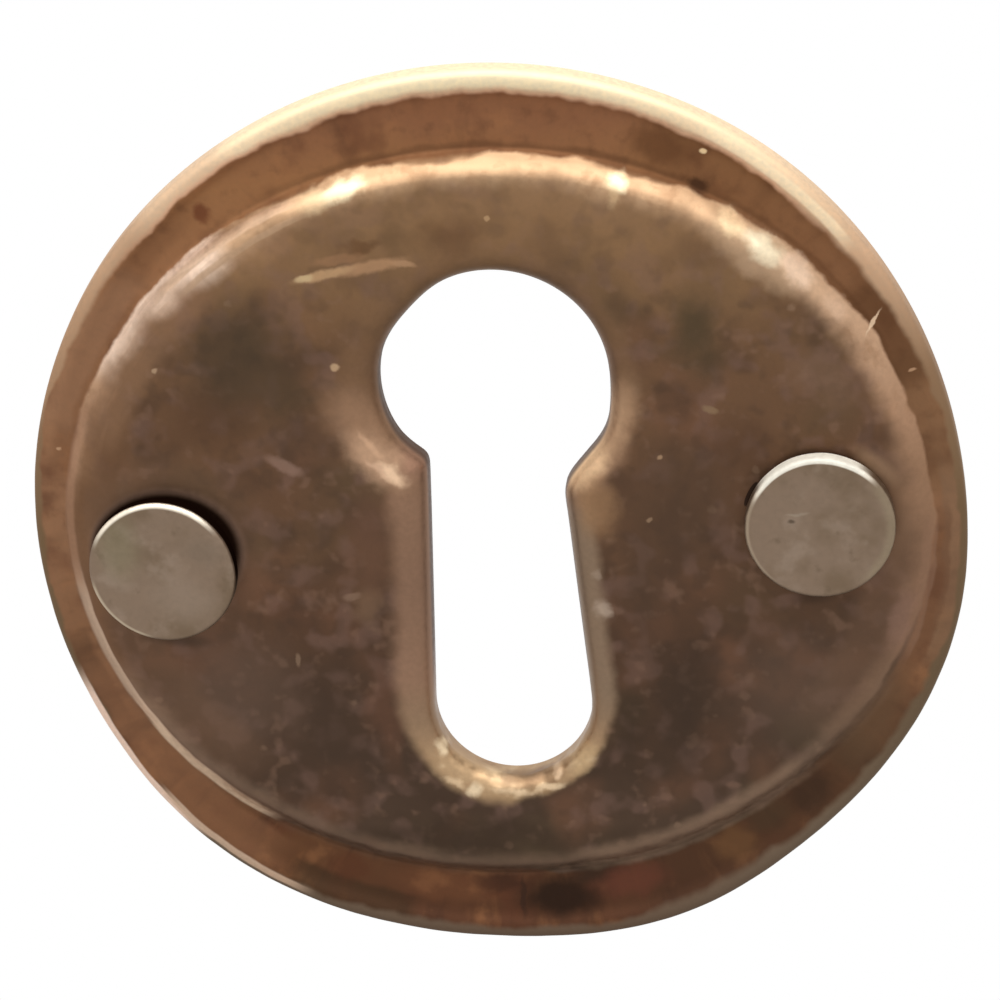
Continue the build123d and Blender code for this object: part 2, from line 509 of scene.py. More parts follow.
# %% Dies of the press
SHOULDER_DIE = (
    (0, 0), (0.065, 0.035), (0.13, 0.14), (0.22, 0.33), (0.3, 0.5), (0.39, 0.67), (0.48, 0.79), (0.57, 0.88),
    (0.65, 0.94), (0.83, 0.99), (1, 1),
)
LIP_DIE = (
    (0, 0), (0.045, 0.5), (0.1, 0.74), (0.19, 0.93), (0.31, 1), (0.44, 0.95), (0.62, 0.64), (0.8, 0.3),
    (0.92, 0.18), (1, 0.167),
)
PRESS_NUMBERS = {
    "Field Height": field_height,
    "Sheet Thickness": SHEET_THICKNESS,
    "Lip Height": 1.0,
    "Lip Edge Height": LIP_EDGE_HEIGHT,
    "Lip Width": LIP_WIDTH,
    "Shoulder In": SHOULDER_IN,
    "Cove Out": COVE_OUT,
    "Shoulder Ease": 1.6,
    "Cove Fill": 0.25,
    "Keyhole Edge Radius": KEYHOLE_EDGE_RADIUS,
    "Foot Roll Share": FOOT_ROLL_SHARE,
    "Hole Radius": HOLE_RADIUS,
    "Face Wave": 0.03,
    "Shoulder Dings": 0.1,
    "Lip Dings": 0.05,
    "File Marks": 0.12,
    "Mesh Scale": MM,
}
HOLES = {
    "Left Hole": (pin_seat["left_pin"].x, 0.0, pin_seat["left_pin"].z),
    "Right Hole": (pin_seat["right_pin"].x, 0.0, pin_seat["right_pin"].z),
}
tree = press = new_shape_tree("Press the plate", PRESS_NUMBERS, HOLES, ["Metal"])
given = add("NodeGroupInput").outputs


def fact(name):
    """One of the distances that the blank carries."""
    return add("GeometryNodeInputNamedAttribute", {"Name": name}).outputs["Attribute"]


def die(profile, value):
    """A Float Curve with this profile."""
    made = add("ShaderNodeFloatCurve", {"Value": value})
    curve = made.mapping.curves[0]
    for point in profile[1:-1]:
        curve.points.new(*point)
    curve.points[0].location, curve.points[-1].location = profile[0], profile[-1]
    made.mapping.update()
    return made.outputs[0]


print("dies with", len(SHOULDER_DIE), "and", len(LIP_DIE), "points")


# %% Height of the face
def rim_and_field():
    """The height of the lip, the cove, the shoulder and the field above the wood."""
    ease = ramp(split(position())["Z"], 2.0, 11.0, given["Shoulder Ease"], 1.1)
    cove_start = both(given["Cove Out"], ease, -1.0)
    shoulder_end = both(given["Shoulder In"], ease)
    shoulder = die(SHOULDER_DIE, ramp(fact("oval_in"), cove_start, shoulder_end, smooth=False))
    lip = die(LIP_DIE, ramp(fact("edge_in"), 0.0, given["Lip Width"], smooth=False))
    rim = ramp(lip, 0.0, 1.0, given["Lip Edge Height"], given["Lip Height"], smooth=False)
    rim_width = calc("SUBTRACT", fact("edge_in"), fact("oval_in"))
    narrow = both(ramp(rim_width, 1.3, 2.3, 1.0, 0.0), ramp(fact("edge_in"), 0.3, 1.0))
    filled = both(narrow, given["Cove Fill"])
    rise = calc("SUBTRACT", given["Field Height"], given["Sheet Thickness"])
    return calc("MULTIPLY_ADD", shoulder, calc("SUBTRACT", rise, filled), calc("ADD", rim, filled))


def keyhole_turn():
    """How far the keyhole's edge is turned in below the field. The turn is tighter at the slot's foot."""
    tighter = ramp(split(position())["Z"], -5.5, -8.5, 1.0, given["Foot Roll Share"])
    radius = both(given["Keyhole Edge Radius"], tighter)
    inside = calc("MINIMUM", fact("keyhole_out"), radius)
    left_over = calc("SUBTRACT", calc("MULTIPLY", radius, 2.0), inside)
    return calc("SUBTRACT", radius, calc("SQRT", both(inside, left_over)))


face_height = calc("SUBTRACT", rim_and_field(), keyhole_turn())
print(f"the height of the face takes {len(press.nodes)} nodes")

# %% [markdown]
# The pin holes are drilled last, by a boolean with two cylinders, because the real ones were punched after
# the pressing too. The edges of the holes and of the back stay sharp, and everything else is shaded smooth.

# %% Knocks, holes and the finished press
HOLE_SIDES, DRILL_LENGTH = 72, 8.0
SHARP_FROM = math.radians(40)


def dents(mask, size, depth, seed):
    """Noise of this size and depth, in and out of the metal, where the mask is 1."""
    return both(centred(shifted(position(), seed), size, detail=1.5), mask, given[depth])


def all_dents():
    """The plate's knocks and marks, added up."""
    slot_foot = both(stripe(fact("keyhole_out"), 0.0, 0.9, 0.35), ramp(split(position())["Z"], -6.5, -8.5))
    total = dents(fact("on_face"), 6.0, "Face Wave", 1)
    for mark in (
        dents(stripe(fact("oval_in"), 0.2, 0.7, 0.35), 1.3, "Shoulder Dings", 2),
        dents(stripe(fact("edge_in"), 0.1, 0.7, 0.25), 1.6, "Lip Dings", 3),
        dents(slot_foot, 0.6, "File Marks", 4),
    ):
        total = calc("ADD", total, mark)
    return both(total, fact("on_face"))


def drill(place):
    """A cylinder along Y, for one pin hole."""
    sizes = {"Vertices": HOLE_SIDES, "Radius": given["Hole Radius"], "Depth": DRILL_LENGTH}
    bit = add("GeometryNodeMeshCylinder", sizes).outputs["Mesh"]
    turned = {"Geometry": bit, "Translation": place, "Rotation": (math.pi / 2, 0, 0)}
    return add("GeometryNodeTransform", turned).outputs[0]


chosen = add("FunctionNodeCompare", {0: fact("on_face"), 1: 0.5}, operation="GREATER_THAN").outputs[0]
shaped = move(given["Geometry"], Selection=chosen, Offset=joined(Y=calc("MULTIPLY", face_height, -1.0)))
outwards = add("GeometryNodeInputNormal").outputs[0]
push = add("ShaderNodeVectorMath", {0: outwards, "Scale": all_dents()}, operation="SCALE").outputs[0]
drilled = add("GeometryNodeMeshBoolean", {"Mesh 1": move(shaped, Offset=push)}, solver="MANIFOLD")
for hole in HOLES:
    tree.links.new(drill(given[hole]), drilled.inputs["Mesh 2"])
end_shape(drilled.outputs[0], given["Mesh Scale"], given["Metal"], SHARP_FROM)
print(f"the press has {len(press.nodes)} nodes")

# %% Press the plate
aged_brass = bpy.data.materials.new("aged_brass_patina")
plate = grow("plate", plate_blank, press, {**PRESS_NUMBERS, **HOLES, "Metal": aged_brass})
print("attributes", [a.name for a in plate.data.attributes])

# %% [markdown]
# ## The pins
# A pin is a turned shape: a flat head, a neck that fills the hole, a straight shank and a point. Spinning a
# profile round an axis is a rule too, and the part has two pins, so one tree turns both. It rounds the
# corners of the profile, samples it along its length, wraps the samples round the axis and leans the result
# along the pin's own axis. A little noise makes the heads as uneven as ones that were cut and hammered.

# %% Build the lathe
HEAD_RADIUS, HEAD_THICKNESS = 2.55, 0.7
NECK_RADIUS, SHANK_RADIUS, TIP_RADIUS = 0.95, 0.7, 0.1
POINT_LENGTH = 2.2
SHANK_END = NECK_LENGTH + SHANK_LENGTH
PIN_PROFILE = (
    (0, -HEAD_THICKNESS), (HEAD_RADIUS, -HEAD_THICKNESS), (HEAD_RADIUS, 0), (NECK_RADIUS, 0),
    (SHANK_RADIUS, NECK_LENGTH), (SHANK_RADIUS, SHANK_END),
    (TIP_RADIUS, SHANK_END + POINT_LENGTH), (0, SHANK_END + POINT_LENGTH),
)
CORNER_STEPS, SEAM_GAP = 6, 0.002
PIN_NUMBERS = {
    "Corner Radius": 0.15,
    "Rings": 300.0,
    "Segments": 96.0,
    "Head Dents": 0.02,
    "Outline Dents": 0.03,
    "Mesh Scale": MM,
}
tree = lathe = new_shape_tree("Turn a pin", [*PIN_NUMBERS, "Seed"], ["Seat", "Axis"], ["Metal"])
asked = add("NodeGroupInput").outputs


def wrapped_profile():
    """The rounded profile, sampled evenly and wrapped round the Y axis on a grid."""
    outline = add("GeometryNodeMeshToCurve", {"Mesh": asked["Geometry"]}).outputs[0]
    corners = {"Curve": outline, "Count": CORNER_STEPS, "Limit Radius": True}
    corners["Radius"] = asked["Corner Radius"]
    rounded = add("GeometryNodeFilletCurve", corners, mode="POLY").outputs[0]
    seam = calc("ADD", asked["Segments"], 1.0)
    sheet = add("GeometryNodeMeshGrid", {"Vertices X": asked["Rings"], "Vertices Y": seam}).outputs
    along_and_round = split(sheet["UV Map"])
    sample = add("GeometryNodeSampleCurve", {"Curves": rounded, "Factor": along_and_round["X"]})
    profile = split(sample.outputs["Position"])
    angle = calc("MULTIPLY", along_and_round["Y"], 2 * math.pi)
    across, up = (both(profile["X"], calc(turn_by, angle)) for turn_by in ("COSINE", "SINE"))
    wrapped = move(sheet["Mesh"], Position=joined(X=across, Y=profile["Y"], Z=up))
    return add("GeometryNodeMergeByDistance", {"Geometry": wrapped, "Distance": SEAM_GAP}).outputs[0]


def head_dents():
    """Small dents over the head and a head that isn't quite round."""
    here = split(position())
    place = vector("ADD", position(), joined(X=calc("MULTIPLY", asked["Seed"], 11.0)))
    head = ramp(here["Y"], 0.3, 0.0)
    squares = calc("MULTIPLY_ADD", here["X"], here["X"], both(here["Z"], here["Z"]))
    rim = both(head, ramp(calc("SQRT", squares), 2.0, 2.5))
    dimples = both(centred(place, 1.3), asked["Head Dents"])
    sideways = both(centred(place, 2.6), asked["Outline Dents"], rim)
    return joined(X=both(here["X"], sideways), Y=both(dimples, head), Z=both(here["Z"], sideways))


stored = {"Geometry": wrapped_profile(), "Name": "pin_place", "Value": position()}
profiled = add("GeometryNodeStoreNamedAttribute", stored, data_type="FLOAT_VECTOR", domain="POINT").outputs[0]
leaning = add("FunctionNodeAlignRotationToVector", {"Vector": asked["Axis"]}, axis="Y").outputs[0]
dented = move(profiled, Offset=head_dents())
seat = {"Geometry": dented, "Translation": asked["Seat"], "Rotation": leaning}
seated = add("GeometryNodeTransform", seat).outputs[0]
end_shape(seated, asked["Mesh Scale"], asked["Metal"])
print(f"the lathe has {len(lathe.nodes)} nodes")

# %% Turn both pins
satin_pin = bpy.data.materials.new("satin_pin_metal")
profile_mesh = bpy.data.meshes.new("pin_profile")
profile_edges = [(i, i + 1) for i in range(len(PIN_PROFILE) - 1)]
profile_mesh.from_pydata([(radius, along, 0) for radius, along in PIN_PROFILE], profile_edges, [])
pins = {}
for number, name in enumerate(("left_pin", "right_pin"), start=1):
    own = {"Seed": float(number), "Seat": pin_seat[name], "Axis": pin_axis[name], "Metal": satin_pin}
    pins[name] = grow(name + "_turned", profile_mesh, lathe, {**PIN_NUMBERS, **own})

# %% [markdown]
# ## Finishes
# Old brass has many colours. Where nobody touched it, it went brown in clouds. Where fingers, keys and
# cloths passed, on the lip, the shoulder and the edge of the keyhole, the metal is worn paler and smoother,
# and on these same edges painted highlights stand for the light from above. All of it could be painted on an
# image, but a picture is tied to one unwrapping. Here every layer is a rule: noise for the clouds, the
# distances that the blank carries for the wear and the painted highlights, and a place on the plate for each
# single mark.


# %% Helpers for finishes
def tone(red, green, blue):
    """A colour in screen values from 0 to 255, as the linear numbers that nodes take."""
    screen = (channel / 255 for channel in (red, green, blue))
    return tuple(((c + 0.055) / 1.055) ** 2.4 if c > 0.04 else c / 12.92 for c in screen) + (1.0,)


def emptied(owner):
    """The node tree of a material or a world, with nothing in it yet."""
    owner.use_nodes = True
    owner.node_tree.nodes.clear()
    return owner.node_tree


def start_metal():
    """Adds a metal shader to an empty tree. Returns its sockets and the place on the part in millimetres."""
    shader = add("ShaderNodeBsdfPrincipled")
    add("ShaderNodeOutputMaterial", {"Surface": shader.outputs[0]})
    metres = add("ShaderNodeTexCoord").outputs["Object"]
    return shader.inputs, vector("MULTIPLY", metres, (1 / MM,) * 3)


def bent(place, size, amount, seed=0):
    """The place, pushed about by noise, so that borders drawn on it come out ragged."""
    sockets = {"Vector": shifted(place, seed), "Scale": 1 / size, "Detail": 3.0}
    noise = add("ShaderNodeTexNoise", sockets).outputs["Color"]
    return vector("MULTIPLY_ADD", noise, (2 * amount,) * 3, vector("ADD", place, (-amount,) * 3))


def tint(value, stops):
    """A colour that follows a value. Each stop is a value and the screen colour there."""
    low, high = stops[0][0], stops[-1][0]
    made = add("ShaderNodeValToRGB", {0: ramp(value, low, high, smooth=False, hold=False)})
    elements = made.color_ramp.elements
    for at, colour in stops[1:-1]:
        elements.new((at - low) / (high - low)).color = tone(*colour)
    elements[0].color, elements[-1].color = tone(*stops[0][1]), tone(*stops[-1][1])
    return made.outputs[0]


def cover(below, above, mask):
    """Lays one colour over another where the mask is 1."""
    return add("ShaderNodeMix", {0: mask, 6: below, 7: above}, data_type="RGBA").outputs[2]


print("a mid grey of 128 is", round(tone(128, 128, 128)[0], 3), "in linear light")

# %% [markdown]
# A mask is a number from 0 to 1 that says where a colour goes. Four kinds are enough: clouds of noise, the
# part of the plate that lies in one direction, a single mark, and sparse flecks.

# %% Helpers for masks
THROUGH_THE_METAL = 1000.0
FULL_PART_OF_SPREAD = 0.6


def clouds(place, size, start, end, seed, strength=1.0, detail=3.0):
    """Patches of noise: 0 where the noise is below start, full strength above end."""
    return ramp(speckle(shifted(place, seed), size, detail), start, end, 0.0, strength)


def facing(unit, degrees, spread, strength=1.0):
    """Full where a unit vector points this way in the plane of the plate, and 0 beyond the spread."""
    angle = math.radians(degrees)
    towards = vector("DOT_PRODUCT", unit, (math.cos(angle), 0, math.sin(angle)))
    begin, full = (math.cos(math.radians(spread * part)) for part in (1, FULL_PART_OF_SPREAD))
    return ramp(towards, begin, full, 0.0, strength)


def patch(place, pixel, half_size, turn=0.0, height=field_height, softness=0.7, strength=1.0):
    """A mask for one mark, full in its middle and 0 outside, placed and turned as the photograph shows it."""
    across, up = on_plate(*pixel, height)
    reach = 1 + softness / 2
    ball = add("ShaderNodeTexGradient", {"Vector": place}, gradient_type="SPHERICAL")
    # The gradient's own mapping is worked out once, and a Mapping node's again for each sample.
    ball.texture_mapping.vector_type = "TEXTURE"
    ball.texture_mapping.translation = (across, 0, up)
    ball.texture_mapping.rotation = (0, -math.radians(turn), 0)
    ball.texture_mapping.scale = (half_size[0] * reach, THROUGH_THE_METAL, half_size[1] * reach)
    return ramp(ball.outputs["Fac"], 0.0, 1.5 * softness / reach, 0.0, strength)


def flecks(place, cell, radius, share, seed):
    """Sparse round specks: one in some of the cells of this size."""
    cells = add("ShaderNodeTexVoronoi", {"Vector": shifted(place, seed), "Scale": 1 / cell}).outputs
    chosen = add("ShaderNodeSeparateColor", {0: cells["Color"]}).outputs[0]
    kept = calc("GREATER_THAN", chosen, 1 - share)
    return both(ramp(cells["Distance"], radius / cell, radius / cell / 3), kept)


middle = on_plate(IMAGE_SIZE / 2, IMAGE_SIZE / 2)
print("the middle of the picture shows the face at", [round(c, 2) for c in middle], "mm")

# %% [markdown]
# ## The patina of the plate
# The face is painted paler at the top and darker below, as painted light from above. On that lie olive, rosy
# and dark clouds of three sizes and a few pale flecks. Each cloud has its colour, its size in millimetres,
# the noise at which it begins and is full, and its strength.

# %% Clouds on the face
# Painted light: the face runs from dark at the bottom to pale at the top.
FACE_BY_HEIGHT = (
    (-13, (84, 65, 51)), (-9, (73, 55, 42)), (-4, (88, 63, 46)), (2, (104, 75, 54)), (7, (113, 83, 58)),
    (10.5, (138, 105, 73)), (13, (150, 116, 84)),
)
FACE_CLOUDS = {
    "olive": ((84, 69, 48), 4.2, 0.5, 0.75, 0.5),
    "red-brown": ((122, 84, 62), 2.8, 0.5, 0.75, 0.5),
    "dark": ((68, 50, 38), 1.5, 0.48, 0.72, 0.45),
    "mauve": ((122, 94, 82), 0.95, 0.5, 0.68, 0.4),
    "small dark": ((72, 54, 41), 0.7, 0.5, 0.72, 0.35),
    "small pale": ((136, 105, 86), 0.6, 0.56, 0.76, 0.35),
}
tree = brass = emptied(aged_brass)
brass_shader, on_brass = start_metal()
from_keyhole, in_oval, from_edge, face_side = (
    add("ShaderNodeAttribute", attribute_name=name).outputs["Fac"]
    for name in ("keyhole_out", "oval_in", "edge_in", "on_face")
)
brass_across, brass_deep, brass_up = split(on_brass)
wandering = centred(shifted(on_brass, 3), 5.0, detail=3.0)
ragged = centred(shifted(on_brass, 4), 1.1, detail=4.0)
blurred = bent(on_brass, 1.4, 0.9, 17)
frayed = bent(on_brass, 0.6, 0.3, 18)
crisp = bent(on_brass, 0.35, 0.1, 19)

face_colour = tint(calc("MULTIPLY_ADD", wandering, 7.0, brass_up), FACE_BY_HEIGHT)
calmer_top = ramp(brass_up, 6, 11, 1.0, 0.45)
for seed, (paint, size, begin, full, strength) in enumerate(FACE_CLOUDS.values(), start=5):
    shape = clouds(on_brass, size, begin, full, seed, strength, detail=1.5)
    face_colour = cover(face_colour, tone(*paint), both(shape, calmer_top))
face_colour = cover(face_colour, tone(156, 126, 102), both(flecks(crisp, 1.6, 0.2, 0.35, 20), 0.35))
print(f"the face has {len(FACE_CLOUDS)} kinds of clouds")

# %% [markdown]
# The cove between lip and shoulder was never rubbed, so it kept a coppery brown, redder towards the bottom.
# Rubbing along it left streaks there, which are noise on a place that runs round the plate: the direction
# from the centre, with a little of the distance. Darker and paler bands follow the lip and the foot of the
# shoulder, each on its own side.

# %% Clouds, streaks and bands in the cove
COVE_BY_HEIGHT = (
    (-15, (88, 55, 36)), (-11, (104, 68, 42)), (-5, (130, 92, 64)), (2, (148, 108, 78)), (9, (148, 104, 71)),
    (12.6, (150, 105, 68)), (14.2, (138, 93, 63)), (15.4, (134, 88, 58)),
)
COVE_CLOUDS = {
    "dark red": ((92, 52, 34), 1.7, 0.5, 0.76, 0.6),
    "orange": ((158, 108, 70), 1.2, 0.54, 0.78, 0.45),
    "fine dark": ((92, 58, 38), 0.6, 0.5, 0.8, 0.4),
}
COVE_STREAKS = {
    "dark streaks": ((66, 41, 27), 0.9, 0.5, 0.72, 0.6),
    "pale streaks": ((146, 98, 62), 0.8, 0.54, 0.76, 0.3),
}
flat_place = vector("MULTIPLY", on_brass, (1, 0, 1))
spoke = vector("NORMALIZE", flat_place)
short_spoke = joined(Y=calc("MULTIPLY", vector("LENGTH", flat_place), 0.35))
rubbed = vector("MULTIPLY_ADD", spoke, (plate_radius, 0, plate_radius), short_spoke)
frayed_edge = calc("MULTIPLY_ADD", ragged, 0.5, from_edge)
frayed_foot = calc("MULTIPLY_ADD", ragged, 0.4, in_oval)
COVE_BANDS = {
    "shade under the lip at the left": (frayed_edge, 0.8, 1.2, 0.5, 150, 25, (100, 63, 38), 0.4),
    "darker band along the foot of the shoulder": (frayed_foot, -0.2, 0.0, 0.22, 68, 60, (90, 56, 32), 0.5),
    "dark part at the upper right": (frayed_foot, -2.4, 0.1, 0.3, 44, 27, (98, 62, 34), 0.42),
    "shade at the right": (frayed_foot, -1.6, 0.1, 0.3, 12, 12, (104, 76, 48), 0.4),
    "pale part at the upper left": (frayed_foot, -1.1, -0.4, 0.3, 153, 14, (156, 117, 88), 0.5),
    "dark part at the right": (frayed_foot, -1.2, -0.2, 0.2, 25, 9, (82, 50, 25), 0.55),
    "pale part at the right": (frayed_edge, 0.25, 0.65, 0.2, 352, 16, (130, 102, 78), 0.5),
    "red part at the right": (frayed_foot, -0.6, -0.2, 0.15, 349, 13, (106, 72, 50), 0.55),
    "dark part at the left": (frayed_edge, 0.3, 0.9, 0.2, 200, 8, (86, 58, 38), 0.5),
    "orange part at the lower left": (frayed_edge, 0.5, 1.6, 0.3, 216, 22, (140, 98, 70), 0.45),
    "olive part at the lower left": (frayed_edge, 0.3, 1.1, 0.3, 246, 10, (60, 44, 27), 0.6),
}


def side(degrees, spread, strength=1.0):
    """Full on the part of the plate that lies in this direction from its centre, and 0 beyond the spread."""
    return facing(spoke, degrees, spread, strength)


def lay_bands(colour, bands):
    """Covers a colour along the edges: distance, from, to, fade, direction, spread, colour and strength."""
    banded = colour
    for distance, low, high, fade, degrees, spread, paint, strength in bands.values():
        band = both(stripe(distance, low, high, fade), side(degrees, spread, strength))
        banded = cover(banded, tone(*paint), band)
    return cover(colour, banded, face_side)


cove_colour = tint(calc("MULTIPLY_ADD", wandering, 3.0, brass_up), COVE_BY_HEIGHT)
for seed, (paint, *cloud, strength) in enumerate(COVE_CLOUDS.values(), start=12):
    cove_colour = cover(cove_colour, tone(*paint), clouds(on_brass, *cloud, seed, strength))
low_down = ramp(brass_up, 0.0, -9.0, 0.35, 1.0)
for seed, (paint, *cloud, strength) in enumerate(COVE_STREAKS.values(), start=26):
    cove_colour = cover(cove_colour, tone(*paint), both(clouds(rubbed, *cloud, seed, strength), low_down))
cove_colour = cover(cove_colour, tone(64, 43, 29), side(309, 28, 0.55))
cove_colour = lay_bands(cove_colour, COVE_BANDS)
spilled = calc("SUBTRACT", side(291, 24, 0.34), side(262, 14, 0.24))
cove_border = calc("ADD", calc("MULTIPLY_ADD", ragged, 0.25, in_oval), spilled)
patina = cover(face_colour, cove_colour, ramp(cove_border, 0.15, -0.05))
print(f"patina so far: {len(brass.nodes)} nodes")

# %% [markdown]
# Then come the single marks that make this plate this plate: smudges where something lay against it, dark
# and red spots in the cove and pale specks. Each has a name, its pixel, its half size in millimetres, a
# turn in degrees, a colour and a strength. Soft marks are drawn on a blurred place and sharp ones on a
# crisp place.

# %% Smudges, spots and specks
SMUDGES = {
    "olive smudge at the left": ((238, 362), (1.9, 2.3), -20, (70, 56, 41), 0.75),
    "its tail": ((285, 395), (1.3, 1.0), 20, (80, 62, 44), 0.6),
    "olive smudge at the right": ((693, 335), (1.1, 1.8), 0, (78, 64, 44), 0.75),
    "shade right of the waist": ((680, 500), (2.0, 2.8), -10, (80, 60, 45), 0.6),
    "shade left of the slot": ((335, 735), (1.5, 2.6), 10, (70, 53, 41), 0.65),
    "shade right of the slot": ((685, 700), (1.5, 2.9), -5, (62, 47, 36), 0.75),
    "shade under the slot": ((470, 836), (4.4, 0.7), -2, (62, 46, 34), 0.75),
    "shade right of the slot's middle": ((645, 600), (0.9, 2.4), 0, (74, 56, 43), 0.5),
    "shade above the right pin": ((740, 450), (1.3, 1.2), 0, (82, 57, 40), 0.5),
    "shade above the left pin": ((205, 422), (1.7, 1.3), 0, (84, 58, 40), 0.55),
    "shade left of the waist": ((300, 440), (1.4, 1.1), 0, (78, 58, 45), 0.55),
    "pale field left of the slot": ((362, 605), (0.7, 0.9), 0, (124, 96, 74), 0.65),
    "pale field at the right": ((822, 378), (1.4, 1.0), -40, (126, 97, 76), 0.6),
    "shade over the hole": ((450, 242), (1.1, 0.8), 0, (102, 72, 46), 0.5),
    "pale field left of the scratch": ((258, 250), (1.3, 0.7), 35, (164, 126, 92), 0.5),
    "shade over the scratch": ((362, 248), (0.6, 0.22), 0, (96, 64, 38), 0.6),
    "pale field at the lower left": ((235, 690), (2.4, 2.6), 30, (102, 80, 66), 0.6),
    "pale field at the lower right": ((790, 690), (2.4, 2.4), 0, (94, 75, 62), 0.5),
    "dark spot above the hole": ((393, 243), (0.9, 0.6), 0, (98, 74, 50), 0.5),
    "dark band right of the roll": ((630, 725), (0.55, 2.0), 0, (60, 46, 34), 0.6),
    "rust left of the roll": ((386, 715), (0.6, 2.4), 4, (106, 73, 55), 0.55),
    "brown field under the left corner": ((368, 540), (0.9, 2.2), 0, (106, 76, 58), 0.7),
    "pale field right of the right pin": ((900, 505), (0.8, 2.6), 0, (132, 101, 76), 0.7),
}
COVE_SPOTS = {
    "black spot at the foot": ((562, 896), (1.6, 0.95), 0, (44, 26, 14), 0.95),
    "its right wing": ((602, 872), (1.1, 0.4), 10, (54, 36, 24), 0.75),
    "its left wing": ((500, 883), (1.1, 0.35), 0, (66, 39, 25), 0.8),
    "black spot at the lower right": ((812, 791), (1.1, 0.8), 42, (56, 38, 25), 0.68),
    "dark end after it": ((856, 750), (0.9, 0.8), 50, (60, 43, 28), 0.52),
    "dark line beside it": ((524, 895), (0.12, 0.8), 0, (58, 36, 24), 0.8),
    "orange patch at the foot": ((445, 885), (1.9, 0.7), -10, (124, 78, 50), 0.35),
    "red patch right of the foot": ((632, 880), (1.4, 0.7), 12, (104, 58, 42), 0.7),
    "ochre patch": ((736, 843), (0.9, 0.7), 30, (118, 82, 50), 0.5),
    "shade along the lower right": ((872, 712), (1.0, 2.4), -28, (104, 77, 54), 0.65),
    "shade before the lower right": ((768, 814), (0.9, 0.7), 38, (74, 54, 36), 0.7),
    "dark spot at the lower left": ((352, 866), (0.8, 0.6), -20, (90, 52, 32), 0.6),
    "dark spot at the upper left": ((201, 214), (0.4, 0.3), -40, (104, 56, 32), 0.8),
    "dark patch at the upper right": ((662, 146), (1.15, 0.65), -24, (96, 60, 34), 0.7),
    "dark spot by the shoulder": ((697, 184), (0.35, 0.3), 0, (70, 42, 22), 0.9),
}
COVE_SPECKS = {
    "speck in the cove": ((703, 151), (0.14, 0.1), 0, (236, 206, 160), 0.9),
    "speck at the left rim": ((60, 446), (0.09, 0.09), 0, (190, 152, 118), 0.8),
    "nick in the right rim": ((912, 367), (0.14, 0.07), 30, (190, 150, 116), 0.8),
}


def lay_marks(colour, marks, place, height=field_height, softness=0.8):
    """Covers a colour on the face side with a table of marks at this height of the metal."""
    marked = colour
    for pixel, half_size, turn_by, paint, strength in marks.values():
        shape = patch(place, pixel, half_size, turn_by, height, softness, strength)
        marked = cover(marked, tone(*paint), shape)
    return cover(colour, marked, face_side)


patina = lay_marks(patina, SMUDGES, blurred)
patina = lay_marks(patina, COVE_SPOTS, frayed, SHEET_THICKNESS, 0.6)
patina = lay_marks(patina, COVE_SPECKS, crisp, SHEET_THICKNESS, 0.5)
print(len(SMUDGES) + len(COVE_SPOTS) + len(COVE_SPECKS), "smudges, spots and specks")

# %% [markdown]
# ## Wear and painted highlights on the proud edges
# Wear follows the form, so it reads the distances: a stripe along the shoulder, one along the lip and one
# round the keyhole's turned edge. The same stripes carry painted highlights of the light from above. Ragged
# noise breaks their borders, and they are stronger at the top, where that light falls, than at the bottom. In
# some directions the shoulder's stripe reaches further out or in.

# %% Where the metal is worn and carries painted highlights
SHOULDER_BORDER = {
    "further out at the upper left": (154, 40, 0.12),
    "further out left of the top": (107, 6, 0.12),
    "further in at the top": (94, 7, -0.12),
    "further in right of the top": (67, 8, -0.12),
    "further out at the upper right": (58, 46, 0.11),
    "further out at the right": (13, 20, 0.17),
    "further out below the right pin": (350, 13, 0.08),
    "further in at the lower right": (333, 13, -0.14),
}
ragged_oval = calc("MULTIPLY_ADD", ragged, 0.6, in_oval)
streaky = centred(shifted(rubbed, 28), 1.1, detail=2.0)
spread_out = frayed_foot
for degrees, spread, further in SHOULDER_BORDER.values():
    spread_out = calc("ADD", side(degrees, spread, further), spread_out)
spread_in = calc("ADD", side(154, 14, 0.3), calc("MULTIPLY_ADD", streaky, 0.7, ragged_oval))
shoulder_stripe = both(ramp(spread_out, 0.02, 0.17), ramp(spread_in, 0.2, 1.2, 1.0, 0.0))
shoulder_wear_and_sheen = both(shoulder_stripe, ramp(brass_up, -13, 5, 0.7, 1.0))

# The lip's stripe reaches further at the top, where its painted highlight faces the light from above.
lip_reach = calc("MULTIPLY_ADD", side(312, 32), 0.3, ramp(brass_up, 2.0, 11.0, 0.42, 1.0))
lip_reach = calc("ADD", side(143, 32, -0.28), lip_reach)
lip_reach = calc("ADD", lip_reach, ramp(brass_up, -11.0, -14.0, 0.0, 0.22))
ragged_edge = calc("MULTIPLY_ADD", ragged, 0.25, from_edge)
lip_part = calc("DIVIDE", calc("MULTIPLY_ADD", streaky, 0.45, ragged_edge), lip_reach)
lip_wear_and_sheen = ramp(lip_part, 0.45, 0.85, 1.0, 0.0)

foot_share = ramp(brass_up, -5.5, -8.5, 1.0, FOOT_ROLL_SHARE)
ragged_keyhole = calc("MULTIPLY_ADD", ragged, 0.6, calc("DIVIDE", from_keyhole, foot_share))
roll_part = calc("DIVIDE", ragged_keyhole, ramp(brass_across, -0.5, 0.5, 1.25, 0.9))
roll_wear_and_sheen = both(ramp(roll_part, 1.35, 0.72), ramp(brass_up, 9, 2, 0.45, 0.92))
wear_and_sheen = calc("MAXIMUM", calc("MAXIMUM", shoulder_wear_and_sheen, lip_wear_and_sheen), roll_wear_and_sheen)
print(f"shoulder, lip and keyhole edge are worn: {len(brass.nodes)} nodes")
